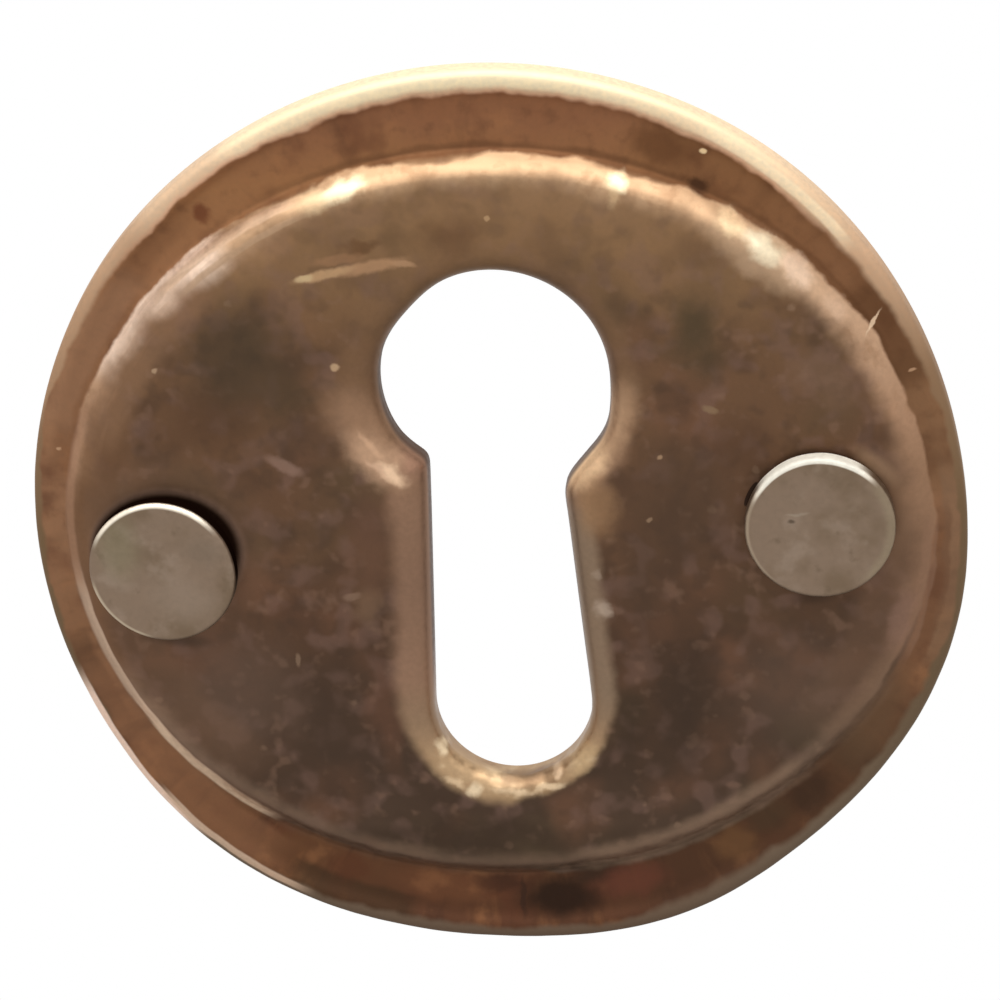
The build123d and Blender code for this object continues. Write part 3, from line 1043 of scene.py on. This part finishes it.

# %% [markdown]
# The worn metal has its own colours, and on top of them light from above is painted in: cream at the top,
# olive at the bottom, with a peach border inside the lip where that painted light fades. The places that
# stand out in the photograph are laid on in order: first the wide fields, then the painted highlights on the
# shoulder, the strokes and painted highlights at the keyhole's waist and the scratch at the upper left.

# %% Colours of the worn metal, with painted light
SHOULDER_BY_HEIGHT = (
    (-13.5, (124, 98, 80)), (-9, (124, 100, 82)), (-3, (136, 105, 83)), (1.5, (150, 116, 90)),
    (3.5, (170, 133, 105)), (8, (204, 167, 135)), (11, (192, 157, 123)), (13, (186, 153, 119)),
)
LIP_BY_HEIGHT = (
    (-16, (112, 92, 76)), (-12, (118, 101, 84)), (-6, (116, 96, 74)), (0, (124, 100, 74)),
    (5, (150, 120, 92)), (9, (202, 169, 138)), (13, (234, 210, 178)), (16, (232, 218, 186)),
)
ROLL_BY_HEIGHT = (
    (-11, (160, 130, 94)), (-9.6, (178, 147, 112)), (-8.5, (170, 139, 106)), (-7.1, (146, 119, 94)),
    (-5.5, (146, 114, 92)), (-2, (134, 104, 84)), (1, (142, 110, 88)), (3, (134, 103, 79)),
    (6, (122, 93, 69)), (10, (116, 88, 63)),
)
INSIDE_BANDS = {
    "paler foot below the right pin": (frayed_foot, -0.15, 0.3, 0.12, 348, 12, (142, 108, 86), 0.5),
    "paler face at the left": (ragged_oval, 1.1, 2.0, 0.8, 196, 32, (120, 90, 68), 0.35),
    "browner face at the left": (ragged_oval, 0.5, 1.6, 0.4, 174, 19, (104, 74, 50), 0.65),
    "paler face at the right": (ragged_oval, 0.6, 1.8, 0.8, 342, 22, (118, 90, 70), 0.38),
    "paler face at the upper left": (ragged_oval, 0.5, 1.2, 0.7, 150, 18, (156, 119, 90), 0.4),
}
# Painted highlight: the shoulder is cream at the top and darker towards the bottom, with a near-white painted
# highlight at the upper left; dimmer patches break it up at the top, and it is darker at the left.
shoulder_colour = tint(brass_up, SHOULDER_BY_HEIGHT)
shoulder_colour = cover(shoulder_colour, tone(110, 79, 56), side(186, 18, 0.85))
dimmer_patches = both(clouds(frayed, 0.8, 0.5, 0.7, 30, 0.5), ramp(brass_up, 0, 6))
shoulder_colour = cover(shoulder_colour, tone(150, 114, 84), dimmer_patches)
shoulder_colour = cover(shoulder_colour, tone(255, 226, 202), side(142, 15, 0.95))
worn_lit_and_shaded = cover(patina, shoulder_colour, shoulder_wear_and_sheen)
# Painted light: a peach border inside the lip at the top, where its painted highlight fades.
peach = both(ramp(lip_part, 0.68, 0.9, 1.0, 0.0), ramp(brass_up, 9.0, 12.0))
worn_lit_and_shaded = cover(worn_lit_and_shaded, tone(220, 172, 138), peach)
# Painted highlight: the lip is near white at the top, where it faces the light from above, and toned down at
# the upper left.
lip_colour = tint(brass_up, LIP_BY_HEIGHT)
lip_colour = cover(lip_colour, tone(204, 174, 145), side(133, 14, 0.6))
lip_colour = cover(lip_colour, tone(178, 144, 114), side(149, 17, 0.6))
worn_lit_and_shaded = cover(worn_lit_and_shaded, lip_colour, lip_wear_and_sheen)
# Painted reflection: the foot of the shoulder is paler than the face at the bottom, most at the lower right.
foot_reflection = both(stripe(frayed_foot, 0.1, 0.6, 0.5), ramp(brass_up, -4.0, -7.5, 0.0, 0.52))
worn_lit_and_shaded = cover(worn_lit_and_shaded, tone(160, 131, 108), both(foot_reflection, ramp(side(298, 22), 0.0, 1.0, 0.3, 1.0)))
worn_lit_and_shaded = lay_bands(worn_lit_and_shaded, INSIDE_BANDS)
# Painted highlight on the wear: the keyhole's turned edge is brightest at the foot of the slot, where it
# faces up.
roll_colour = tint(brass_up, ROLL_BY_HEIGHT)
right_edge = both(ramp(brass_across, 1.0, 2.0), ramp(brass_up, 1.5, 0.0), ramp(brass_up, -8, -6, 0.0, 0.7))
roll_colour = cover(roll_colour, tone(132, 114, 94), right_edge)
worn_lit_and_shaded = cover(worn_lit_and_shaded, roll_colour, roll_wear_and_sheen)
print(f"worn colours are on: {len(brass.nodes)} nodes")

# %% Painted highlights, strokes and the scratch
SHOULDER_SPOT_HEIGHT = 1.3
# Painted highlights on the shoulder, with one mauve field of tone at the lower right.
SHOULDER_HIGHLIGHTS_AND_TONE = {
    "long spot left of the top": ((342, 190), (0.85, 0.34), 17, (240, 220, 182), 0.9),
    "its lower end": ((314, 203), (0.6, 0.4), 22, (222, 192, 152), 0.7),
    "spot right of the top": ((618, 183), (0.4, 0.34), 0, (240, 220, 182), 0.9),
    "its drip": ((614, 194), (0.22, 0.4), 0, (212, 180, 138), 0.5),
    "pale field at the upper right": ((757, 254), (2.2, 0.75), -40, (192, 160, 128), 0.65),
    "spots at the upper right": ((762, 247), (0.85, 0.42), -44, (236, 220, 188), 0.88),
    "a second one": ((731, 226), (0.6, 0.36), -32, (240, 208, 166), 0.85),
    "a third one": ((797, 271), (0.75, 0.42), -42, (232, 200, 172), 0.8),
    "mauve field at the lower right": ((901, 618), (0.45, 1.2), -17, (140, 108, 92), 0.5),
    "a fourth one": ((836, 307), (0.5, 0.34), -48, (214, 178, 148), 0.7),
}
# Painted highlights on the turned edge at the keyhole's waist, where it faces up, with pale strokes and
# flecks.
WAIST_HIGHLIGHTS_AND_MARKS = {
    "pale field above the left corner": ((366, 436), (1.0, 2.1), 30, (152, 118, 92), 0.85),
    "left corner": ((414, 462), (0.75, 0.75), 0, (150, 114, 93), 0.85),
    "pale strokes at the left corner": ((376, 460), (1.3, 0.72), -46, (190, 153, 123), 0.9),
    "bright strokes at the left corner": ((393, 474), (0.62, 0.3), -42, (234, 198, 164), 0.95),
    "bright stroke above": ((372, 446), (0.6, 0.16), -50, (206, 166, 134), 0.7),
    "second bright stroke": ((379, 470), (0.5, 0.16), -42, (214, 176, 146), 0.7),
    "pale field above the right corner": ((606, 435), (0.75, 2.0), -26, (184, 148, 116), 0.85),
    "right corner": ((584, 470), (1.15, 0.6), 48, (226, 188, 148), 0.95),
    "pale field below the right corner": ((597, 508), (0.75, 1.2), 0, (150, 115, 83), 0.75),
    "fleck at the right edge": ((602, 609), (0.3, 0.4), 0, (168, 148, 130), 0.85),
    "second fleck at the right edge": ((596, 575), (0.2, 0.2), 0, (150, 130, 112), 0.7),
}
PALE_MARKS = {
    "upper branch of the scratch": ((338, 260), (1.0, 0.2), 4, (158, 118, 85), 0.55),
    "second stroke of the scratch": ((370, 267), (1.25, 0.25), 9, (178, 138, 102), 0.75),
    "end of the scratch": ((403, 264), (0.45, 0.12), -12, (174, 136, 102), 0.75),
    "scratch": ((324, 275), (1.1, 0.2), 11, (190, 153, 113), 0.8),
    "its pale start": ((304, 279), (0.35, 0.15), 10, (204, 178, 136), 0.75),
    "short stroke": ((284, 466), (0.75, 0.24), -32, (144, 114, 98), 0.7),
    "speck at the left": ((155, 371), (0.1, 0.12), 0, (180, 150, 120), 0.8),
    "speck left of the hole": ((335, 367), (0.16, 0.14), 0, (186, 154, 120), 0.9),
    "speck above the hole": ((487, 218), (0.12, 0.1), 0, (180, 146, 108), 0.8),
    "speck right of the waist": ((660, 458), (0.1, 0.1), 0, (165, 134, 104), 0.8),
    "speck near the right pin": ((710, 410), (0.3, 0.16), -25, (140, 114, 86), 0.7),
    "speck right of the slot": ((650, 520), (0.1, 0.1), 0, (150, 122, 96), 0.7),
    "mark left of the slot": ((298, 660), (0.1, 0.25), 0, (140, 114, 92), 0.6),
    "flake left of the slot": ((352, 597), (0.35, 0.16), 10, (140, 112, 92), 0.6),
    "nick across the shoulder": ((873, 327), (0.05, 0.5), -30, (226, 196, 164), 0.9),
}
worn_lit_and_shaded = lay_marks(worn_lit_and_shaded, SHOULDER_HIGHLIGHTS_AND_TONE, frayed, SHOULDER_SPOT_HEIGHT, 0.6)
worn_lit_and_shaded = lay_marks(worn_lit_and_shaded, WAIST_HIGHLIGHTS_AND_MARKS, frayed, softness=0.7)
worn_lit_and_shaded = lay_marks(worn_lit_and_shaded, PALE_MARKS, crisp, softness=0.5)
print(len(SHOULDER_HIGHLIGHTS_AND_TONE) + len(WAIST_HIGHLIGHTS_AND_MARKS) + len(PALE_MARKS), "pale marks")

# %% [markdown]
# Thin bright lines along the shoulder and the lip are painted highlights, and faint scuffs run along the
# shoulder at the upper left. The scuffs are noise that is stretched along the shoulder: it changes fast
# across it and slowly along it.

# %% Painted highlight lines and scuffs along the edges
near_oval = calc("MULTIPLY_ADD", ragged, 0.12, in_oval)
near_edge = calc("MULTIPLY_ADD", ragged, 0.1, from_edge)
# Painted highlights: thin bright lines on the shoulder and the lip.
EDGE_HIGHLIGHTS = {
    "thin line at the lower left": (near_oval, 0.0, 0.2, 0.12, 207, 26, (214, 184, 158), 0.88),
    "its thick end": (near_oval, -0.08, 0.14, 0.12, 220, 13, (218, 192, 164), 0.9),
    "line on the lip below it": (near_edge, 0.04, 0.26, 0.08, 212, 15, (230, 204, 186), 0.92),
    "lower end of that line": (near_edge, 0.24, 0.4, 0.08, 229, 13, (200, 172, 148), 0.85),
    "bright line on the lip at the upper right": (near_edge, 0.26, 0.5, 0.12, 49, 13, (248, 232, 200), 0.6),
    "highlight line left of the top": (near_oval, 0.14, 0.3, 0.08, 129, 14, (212, 178, 148), 0.75),
    "second one inside it": (near_oval, 0.62, 0.74, 0.08, 127, 13, (178, 146, 116), 0.7),
    "highlight line at the left": (near_oval, 0.0, 0.14, 0.16, 174, 16, (162, 124, 98), 0.6),
    "line beside the left pin": (near_oval, -0.06, 0.2, 0.12, 196, 11, (172, 146, 124), 0.7),
}
worn_lit_and_shaded = lay_bands(worn_lit_and_shaded, EDGE_HIGHLIGHTS)
slow_up, slow_across = (calc("MULTIPLY", way, 0.14) for way in (brass_up, brass_across))
scuffs = ramp(speckle(joined(X=near_oval, Y=slow_up, Z=slow_across), 0.2), 0.45, 0.65)
scuffed = both(stripe(frayed_foot, 0.1, 0.9, 0.3), side(140, 30, 0.22), face_side, scuffs)
worn_lit_and_shaded = cover(worn_lit_and_shaded, tone(150, 114, 86), scuffed)
print(f"{len(EDGE_HIGHLIGHTS)} lines along the edges")

# %% [markdown]
# Someone filed the foot of the slot to fit a key. The strokes run across the turned edge, so their noise is
# drawn on a place that counts the way round the foot, and the bright glints, which are painted highlights,
# sit on the outer half of the turn.

# %% File marks at the foot of the slot
# Painted highlights at the foot of the slot, laid with a paler and a browner field of the turned edge.
FOOT_GLINTS = {
    "pale left half": ((470, 770), (1.5, 0.6), -32, (196, 164, 126), 0.6),
    "brown middle": ((530, 776), (1.3, 0.34), 4, (118, 92, 70), 0.7),
    "pale right end": ((584, 757), (0.35, 0.75), -38, (196, 166, 126), 0.6),
    "glint at the left end": ((441, 747), (0.2, 0.36), 14, (238, 214, 178), 0.8),
    "glint at the lower left": ((455, 779), (0.4, 0.16), -35, (228, 198, 160), 0.7),
    "glint below the left": ((476, 787), (0.3, 0.26), 0, (240, 216, 180), 0.8),
    "glint at the inner edge": ((495, 771), (0.36, 0.4), 25, (224, 194, 154), 0.75),
    "glint below the middle": ((515, 789), (0.7, 0.16), 0, (214, 184, 148), 0.65),
    "glint right of the middle": ((550, 785), (0.6, 0.17), 12, (228, 200, 164), 0.75),
    "small glint above it": ((558, 771), (0.2, 0.2), 0, (216, 186, 154), 0.6),
}
foot_parts = split(vector("SUBTRACT", on_brass, (SLOT_END_CENTRE[0], 0, SLOT_END_CENTRE[1])))
foot_angle = calc("ARCTAN2", foot_parts["X"], calc("MULTIPLY", foot_parts["Z"], -1.0))
round_foot = calc("MULTIPLY_ADD", ragged, 0.3, calc("MULTIPLY", foot_angle, SLOT_END_RADIUS))
outward, inward = (calc("MULTIPLY", way, 0.9) for way in (from_keyhole, brass_deep))
strokes = speckle(joined(X=round_foot, Y=outward, Z=inward), 0.6)
filed = both(ramp(brass_up, -8.0, -8.9), ramp(ragged_keyhole, 1.15, 0.75))
worn_lit_and_shaded = cover(worn_lit_and_shaded, tone(150, 118, 88), both(filed, ramp(strokes, 0.5, 0.3, 0.0, 0.7)))
# Painted highlights: bright glints on the outer half of the turn.
outer_turn = ramp(stripe(ragged_keyhole, 0.65, 1.0, 0.2), 0.0, 1.0, 0.2, 0.7)
worn_lit_and_shaded = cover(worn_lit_and_shaded, tone(244, 220, 184), both(filed, ramp(strokes, 0.5, 0.76), outer_turn))
worn_lit_and_shaded = lay_marks(worn_lit_and_shaded, FOOT_GLINTS, frayed, SHOULDER_SPOT_HEIGHT, 0.7)
print(f"{len(FOOT_GLINTS)} glints at the foot")

# %% [markdown]
# Painted shade darkens the keyhole's inner edge above the foot of the slot and the gap next to the left pin,
# and painted shadows lie under the pins, with painted light round them.
# The back was never seen, so it has a plain brown of its own, and only the walls at its edges take the
# colour of the face.

# %% Painted shade and light, and the back
# Painted light round the pins and painted shadows under them.
PIN_LIGHT_AND_SHADOW = {
    "painted light round the left pin": ((166, 548), (3.1, 2.9), 0, (136, 104, 81), 0.75),
    "painted light at the right pin": ((876, 466), (0.95, 0.36), -45, (158, 126, 98), 0.8),
    "painted shadow under the right pin": ((816, 596), (0.75, 0.3), 5, (64, 46, 33), 0.7),
    "painted shadow under the left pin": ((180, 640), (1.2, 0.25), -8, (66, 50, 38), 0.6),
}
# Painted shadow in the gaps beside the pins, with a pale edge round the left one.
PIN_GAP_SHADE = {
    "pale edge of the gap": ((168, 551), (2.74, 2.36), 0, (140, 110, 92), 0.7),
    "shadow in the gap beside the left pin": ((166, 553), (2.64, 2.26), 0, (30, 15, 7), 1.0),
    "shadow in the gap beside the right pin": ((751, 494), (0.13, 0.5), -28, (40, 24, 14), 0.9),
}
# Painted shade on the keyhole's inner edge, fading out towards the foot of the slot.
keyhole_edge_shade = both(ramp(from_keyhole, 0.08, 0.0), ramp(brass_up, -7.0, -4.0, 0.0, 0.85))
worn_lit_and_shaded = cover(worn_lit_and_shaded, tone(76, 50, 32), keyhole_edge_shade)
worn_lit_and_shaded = lay_marks(worn_lit_and_shaded, PIN_LIGHT_AND_SHADOW, on_brass)
worn_lit_and_shaded = lay_marks(worn_lit_and_shaded, PIN_GAP_SHADE, on_brass, softness=0.1)
gap_shadow = both(patch(on_brass, *PIN_GAP_SHADE["shadow in the gap beside the left pin"][:3], softness=0.06), face_side)
dull = both(calc("MAXIMUM", gap_shadow, keyhole_edge_shade), calc("GREATER_THAN", brass_up, -8.5))
wall = calc("MAXIMUM", ramp(from_edge, 0.12, 0.03), ramp(from_keyhole, 0.12, 0.03))
back_colour = cover(tone(96, 72, 53), tone(58, 43, 32), clouds(on_brass, 3.0, 0.4, 0.7, 16, 0.8))
seen_metal = cover(back_colour, worn_lit_and_shaded, calc("MAXIMUM", face_side, wall))
print(f"patina and wear: {len(brass.nodes)} nodes")

# %% [markdown]
# Worn metal is smoother and brighter than the patina, and the painted shade on the keyhole's edge and in the
# gap next to the left pin is hardly metal at all. A fine grain in the colour and the roughness, and shallow
# pits in the relief, keep the surface from looking like plastic.

# %% Roughness and relief
PIT_DEPTH = 0.03 * MM


def link(output, socket):
    """Plugs an output into a socket of the shader."""
    tree.links.new(output, socket)


def grainy(grain, colour):
    """The colour, a little darker and brighter by turns with the grain."""
    sockets = {"Value": ramp(grain, 0.25, 0.75, 0.94, 1.06), "Color": colour}
    return add("ShaderNodeHueSaturation", sockets).outputs[0]


def relief(height, strength, depth):
    """A bumpy normal from a height."""
    return add("ShaderNodeBump", {"Strength": strength, "Distance": depth, "Height": height}).outputs[0]


grain = speckle(shifted(on_brass, 22), 0.18, detail=3.0)
link(grainy(grain, seen_metal), brass_shader["Base Color"])
smoother = calc("MULTIPLY", calc("MAXIMUM", shoulder_wear_and_sheen, roll_wear_and_sheen), -0.17)
polish = calc("MULTIPLY_ADD", lip_wear_and_sheen, 0.14, smoother)
link(calc("ADD", polish, ramp(grain, 0.3, 0.7, 0.5, 0.6)), brass_shader["Roughness"])
link(both(ramp(wear_and_sheen, 0.0, 1.0, 0.8, 1.0), ramp(dull, 0.0, 1.0, 1.0, 0.1)), brass_shader["Metallic"])
link(ramp(dull, 0.0, 1.0, 0.5, 0.05), brass_shader["Specular IOR Level"])
pits = speckle(shifted(on_brass, 23), 0.9, detail=4.0)
pitted = calc("MULTIPLY_ADD", grain, 0.3, pits)
link(relief(pitted, ramp(wear_and_sheen, 0.0, 0.8, 0.5, 0.12), PIT_DEPTH), brass_shader["Normal"])
print(f"the plate's finish has {len(brass.nodes)} nodes")

# %% [markdown]
# ## The metal of the pins
# The pins are a paler, greyer metal than the plate, rubbed to a satin and blotched faintly. Each pin
# carries its own upright place, the one it had on the lathe, so what is laid on its rim follows its lean.

# %% Satin metal of the pins
HEAD_MARKS = {
    "pale stroke on the right head": ((797, 513), (0.42, 0.07), 3, (152, 136, 118), 0.8),
    "dark dot under it": ((792, 521), (0.14, 0.1), 0, (84, 70, 56), 0.8),
    "pale field on the left head": ((185, 597), (1.2, 0.9), -15, (150, 131, 114), 0.6),
    "green tinge on the left head": ((118, 545), (0.8, 1.3), 0, (130, 119, 94), 0.6),
    "shade on the left head": ((205, 548), (0.8, 0.5), -10, (120, 104, 88), 0.5),
}
tree = satin = emptied(satin_pin)
pin_shader, on_pin = start_metal()
upright_place = add("ShaderNodeAttribute", attribute_name="pin_place").outputs["Vector"]
along_pin = split(upright_place)["Y"]
from_pin = vector("MULTIPLY", upright_place, (1, 0, 1))
from_axis = vector("LENGTH", from_pin)
head_spoke = vector("NORMALIZE", from_pin)
on_left = calc("LESS_THAN", split(on_pin)["X"], 0.0)
on_right = calc("SUBTRACT", 1.0, on_left)

pin_colour = cover(tone(134, 114, 96), tone(116, 97, 77), clouds(on_pin, 1.8, 0.42, 0.7, 1, 0.8))
pin_colour = cover(pin_colour, tone(150, 131, 114), clouds(on_pin, 1.0, 0.5, 0.75, 2, 0.7))
pin_colour = cover(pin_colour, tone(100, 84, 66), clouds(on_pin, 0.5, 0.6, 0.8, 4, 0.5))
frayed_pin = bent(on_pin, 0.6, 0.15, 6)
for pixel, half_size, turn_by, paint, strength in HEAD_MARKS.values():
    shape = patch(frayed_pin, pixel, half_size, turn_by, field_height + HEAD_THICKNESS, strength=strength)
    pin_colour = cover(pin_colour, tone(*paint), shape)
print(f"{len(HEAD_MARKS)} marks on the heads")

# %% [markdown]
# The upper edges of the heads and the side of the right head carry painted highlights, and so does the
# lower edge of the left head. The left head stands off, and painted shadow darkens the upper part of its
# side, as in the gap beside it on the plate. The shanks, which nobody polished, are darker.

# %% Edges and sides of the heads: painted highlights and painted shadow
def part_of_rim(degrees, spread):
    """1 on the part of a head's rim that lies in this direction, and 0 beyond the spread."""
    return facing(head_spoke, degrees, spread)


front_edge = both(ramp(from_axis, 2.36, 2.46), ramp(along_pin, -0.5, -0.6))
right_side = both(ramp(from_axis, 2.1, 2.4), on_right, 0.6)
head_wall = both(ramp(from_axis, 2.45, 2.52), ramp(along_pin, -0.58, -0.5))
# Painted shadow on the upper part of the left head's side.
painted_shadow = both(head_wall, on_left, part_of_rim(70, 115))
lit_wall = both(ramp(from_axis, 2.36, 2.44), ramp(along_pin, 0.05, 0.0), part_of_rim(96, 56), on_right)
# Painted highlights on the heads' upper edges, the right head's side and wall, and the left head's lower
# edge.
HEAD_EDGES = {
    "bright upper edge": ((252, 240, 220), both(front_edge, part_of_rim(97, 64))),
    "side of the right head": ((150, 134, 110), both(right_side, part_of_rim(-8, 55))),
    "its left edge": ((172, 154, 132), both(right_side, front_edge, part_of_rim(190, 45))),
    "lower edge of the left head": ((204, 188, 162), both(front_edge, part_of_rim(222, 38), on_left, 0.7)),
    "walls": ((120, 102, 84), head_wall),
    "painted shadow on the left wall": ((20, 9, 5), painted_shadow),
    "light on the right wall": ((254, 248, 232), lit_wall),
    "dark shanks": ((70, 58, 48), ramp(along_pin, -0.1, 0.5, 0.0, 0.7)),
}
for paint, mask in HEAD_EDGES.values():
    pin_colour = cover(pin_colour, tone(*paint), mask)
print(f"{len(HEAD_EDGES)} layers on edges, sides and shanks")

# %% Shine of the pins
PIN_GRAIN_DEPTH = 0.015 * MM
pin_grain = speckle(shifted(on_pin, 3), 0.2, detail=3.0)
link(grainy(pin_grain, pin_colour), pin_shader["Base Color"])
link(calc("MULTIPLY_ADD", painted_shadow, 0.4, ramp(pin_grain, 0.3, 0.7, 0.4, 0.52)), pin_shader["Roughness"])
not_metal = calc("MULTIPLY_ADD", lit_wall, 0.85, painted_shadow)
link(ramp(not_metal, 0.0, 1.0, 0.9, 0.0), pin_shader["Metallic"])
link(ramp(painted_shadow, 0.0, 1.0, 0.5, 0.0), pin_shader["Specular IOR Level"])
link(relief(pin_grain, 0.4, PIN_GRAIN_DEPTH), pin_shader["Normal"])
print(f"the pins' finish has {len(satin.nodes)} nodes")

# %% [markdown]
# ## Light and floor
# The plate was lit from above by something broad, and all round it was white. So there is one large soft
# lamp overhead, a white world that the camera and reflections see at strength 1, and a dimmer copy of it
# for plain light. The floor is far enough below that its shadow lies under the plate, and it is white where
# only the background shows.

# %% Light the scene
AMBIENT = 0.4
PLAIN_WHITE = (1.0, 1.0, 1.0, 1.0)


def sees_background():
    """1 for the rays that show the background: from the camera, from a reflection or through glass."""
    rays = add("ShaderNodeLightPath").outputs
    mirrored = calc("MAXIMUM", rays["Is Glossy Ray"], rays["Is Transmission Ray"])
    return calc("MAXIMUM", rays["Is Camera Ray"], mirrored)


def softbox(name, place, target, size, radiance):
    """A rectangular lamp that looks this bright in a mirror, aimed at a target. Places are in millimetres."""
    lamp = bpy.data.lights.new(name, "AREA")
    lamp.shape = "RECTANGLE"
    lamp.size, lamp.size_y = size[0] * MM, size[1] * MM
    lamp.energy = radiance * math.pi * lamp.size * lamp.size_y
    made = bpy.data.objects.new(name, lamp)
    aim = (Vector(target) - Vector(place)).to_track_quat("-Z", "Y").to_matrix().to_4x4()
    made.matrix_world = Matrix.Translation(Vector(place) * MM) @ aim
    made.visible_camera = False
    bpy.context.scene.collection.objects.link(made)
    print(f"{name}: {lamp.energy:.3f} W")


world = bpy.data.worlds.new("white_studio")
bpy.context.scene.world = world
tree = emptied(world)
brightness = ramp(sees_background(), 0.0, 1.0, AMBIENT, 1.0, smooth=False)
glow = add("ShaderNodeBackground", {"Color": PLAIN_WHITE, "Strength": brightness})
add("ShaderNodeOutputWorld", {"Surface": glow.outputs[0]})
softbox("overhead", (0, -60, 230), (0, 0, 0), (320, 300), 2.2)

# %% Lay the floor
FLOOR_DROP = 46.0
FLOOR_RADIUS = 300.0
SHADOW_REACH, WHITE_FROM = 28.0, 46.0

floor_rim = arc(np.zeros(2), FLOOR_RADIUS * MM, 0, 2 * math.pi, 128)
floor_mesh = bpy.data.meshes.new("floor")
floor_points = [(x, y, -FLOOR_DROP * MM) for x, y in floor_rim.tolist()]
floor_mesh.from_pydata(floor_points, [], [range(len(floor_points))])
floor = bpy.data.objects.new("floor", floor_mesh)
bpy.context.scene.collection.objects.link(floor)

paper = bpy.data.materials.new("pale_paper")
tree = emptied(paper)
level = vector("MULTIPLY", add("ShaderNodeTexCoord").outputs["Object"], (1 / MM, 1 / MM, 0))
from_middle = vector("LENGTH", level)
paper_colour = cover(tone(214, 213, 210), tone(222, 221, 218), speckle(level, 3.0))
matt = add("ShaderNodeBsdfDiffuse", {"Color": paper_colour})
plain = add("ShaderNodeEmission", {"Color": PLAIN_WHITE})
white_share = both(sees_background(), ramp(from_middle, SHADOW_REACH, WHITE_FROM))
mixed = add("ShaderNodeMixShader", {0: white_share, 1: matt.outputs[0], 2: plain.outputs[0]})
add("ShaderNodeOutputMaterial", {"Surface": mixed.outputs[0]})
floor_mesh.materials.append(paper)
print(f"floor {FLOOR_DROP - plate_radius:.0f} mm below the plate")

# %% [markdown]
# ## The pieces in place of the CAD solids
# The three pieces stand for the three CAD solids. They have no joints, so all ride on the one body.

# %% Replace the CAD solids
SOLIDS = {
    "escutcheon_plate": (plate, "aged_brass"),
    "left_pin": (pins["left_pin"], "dull_pin_metal"),
    "right_pin": (pins["right_pin"], "dull_pin_metal"),
}
for node, (piece, slot) in SOLIDS.items():
    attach(piece, "root")
    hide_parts(node)

bpy.context.scene.view_settings.view_transform = "Standard"
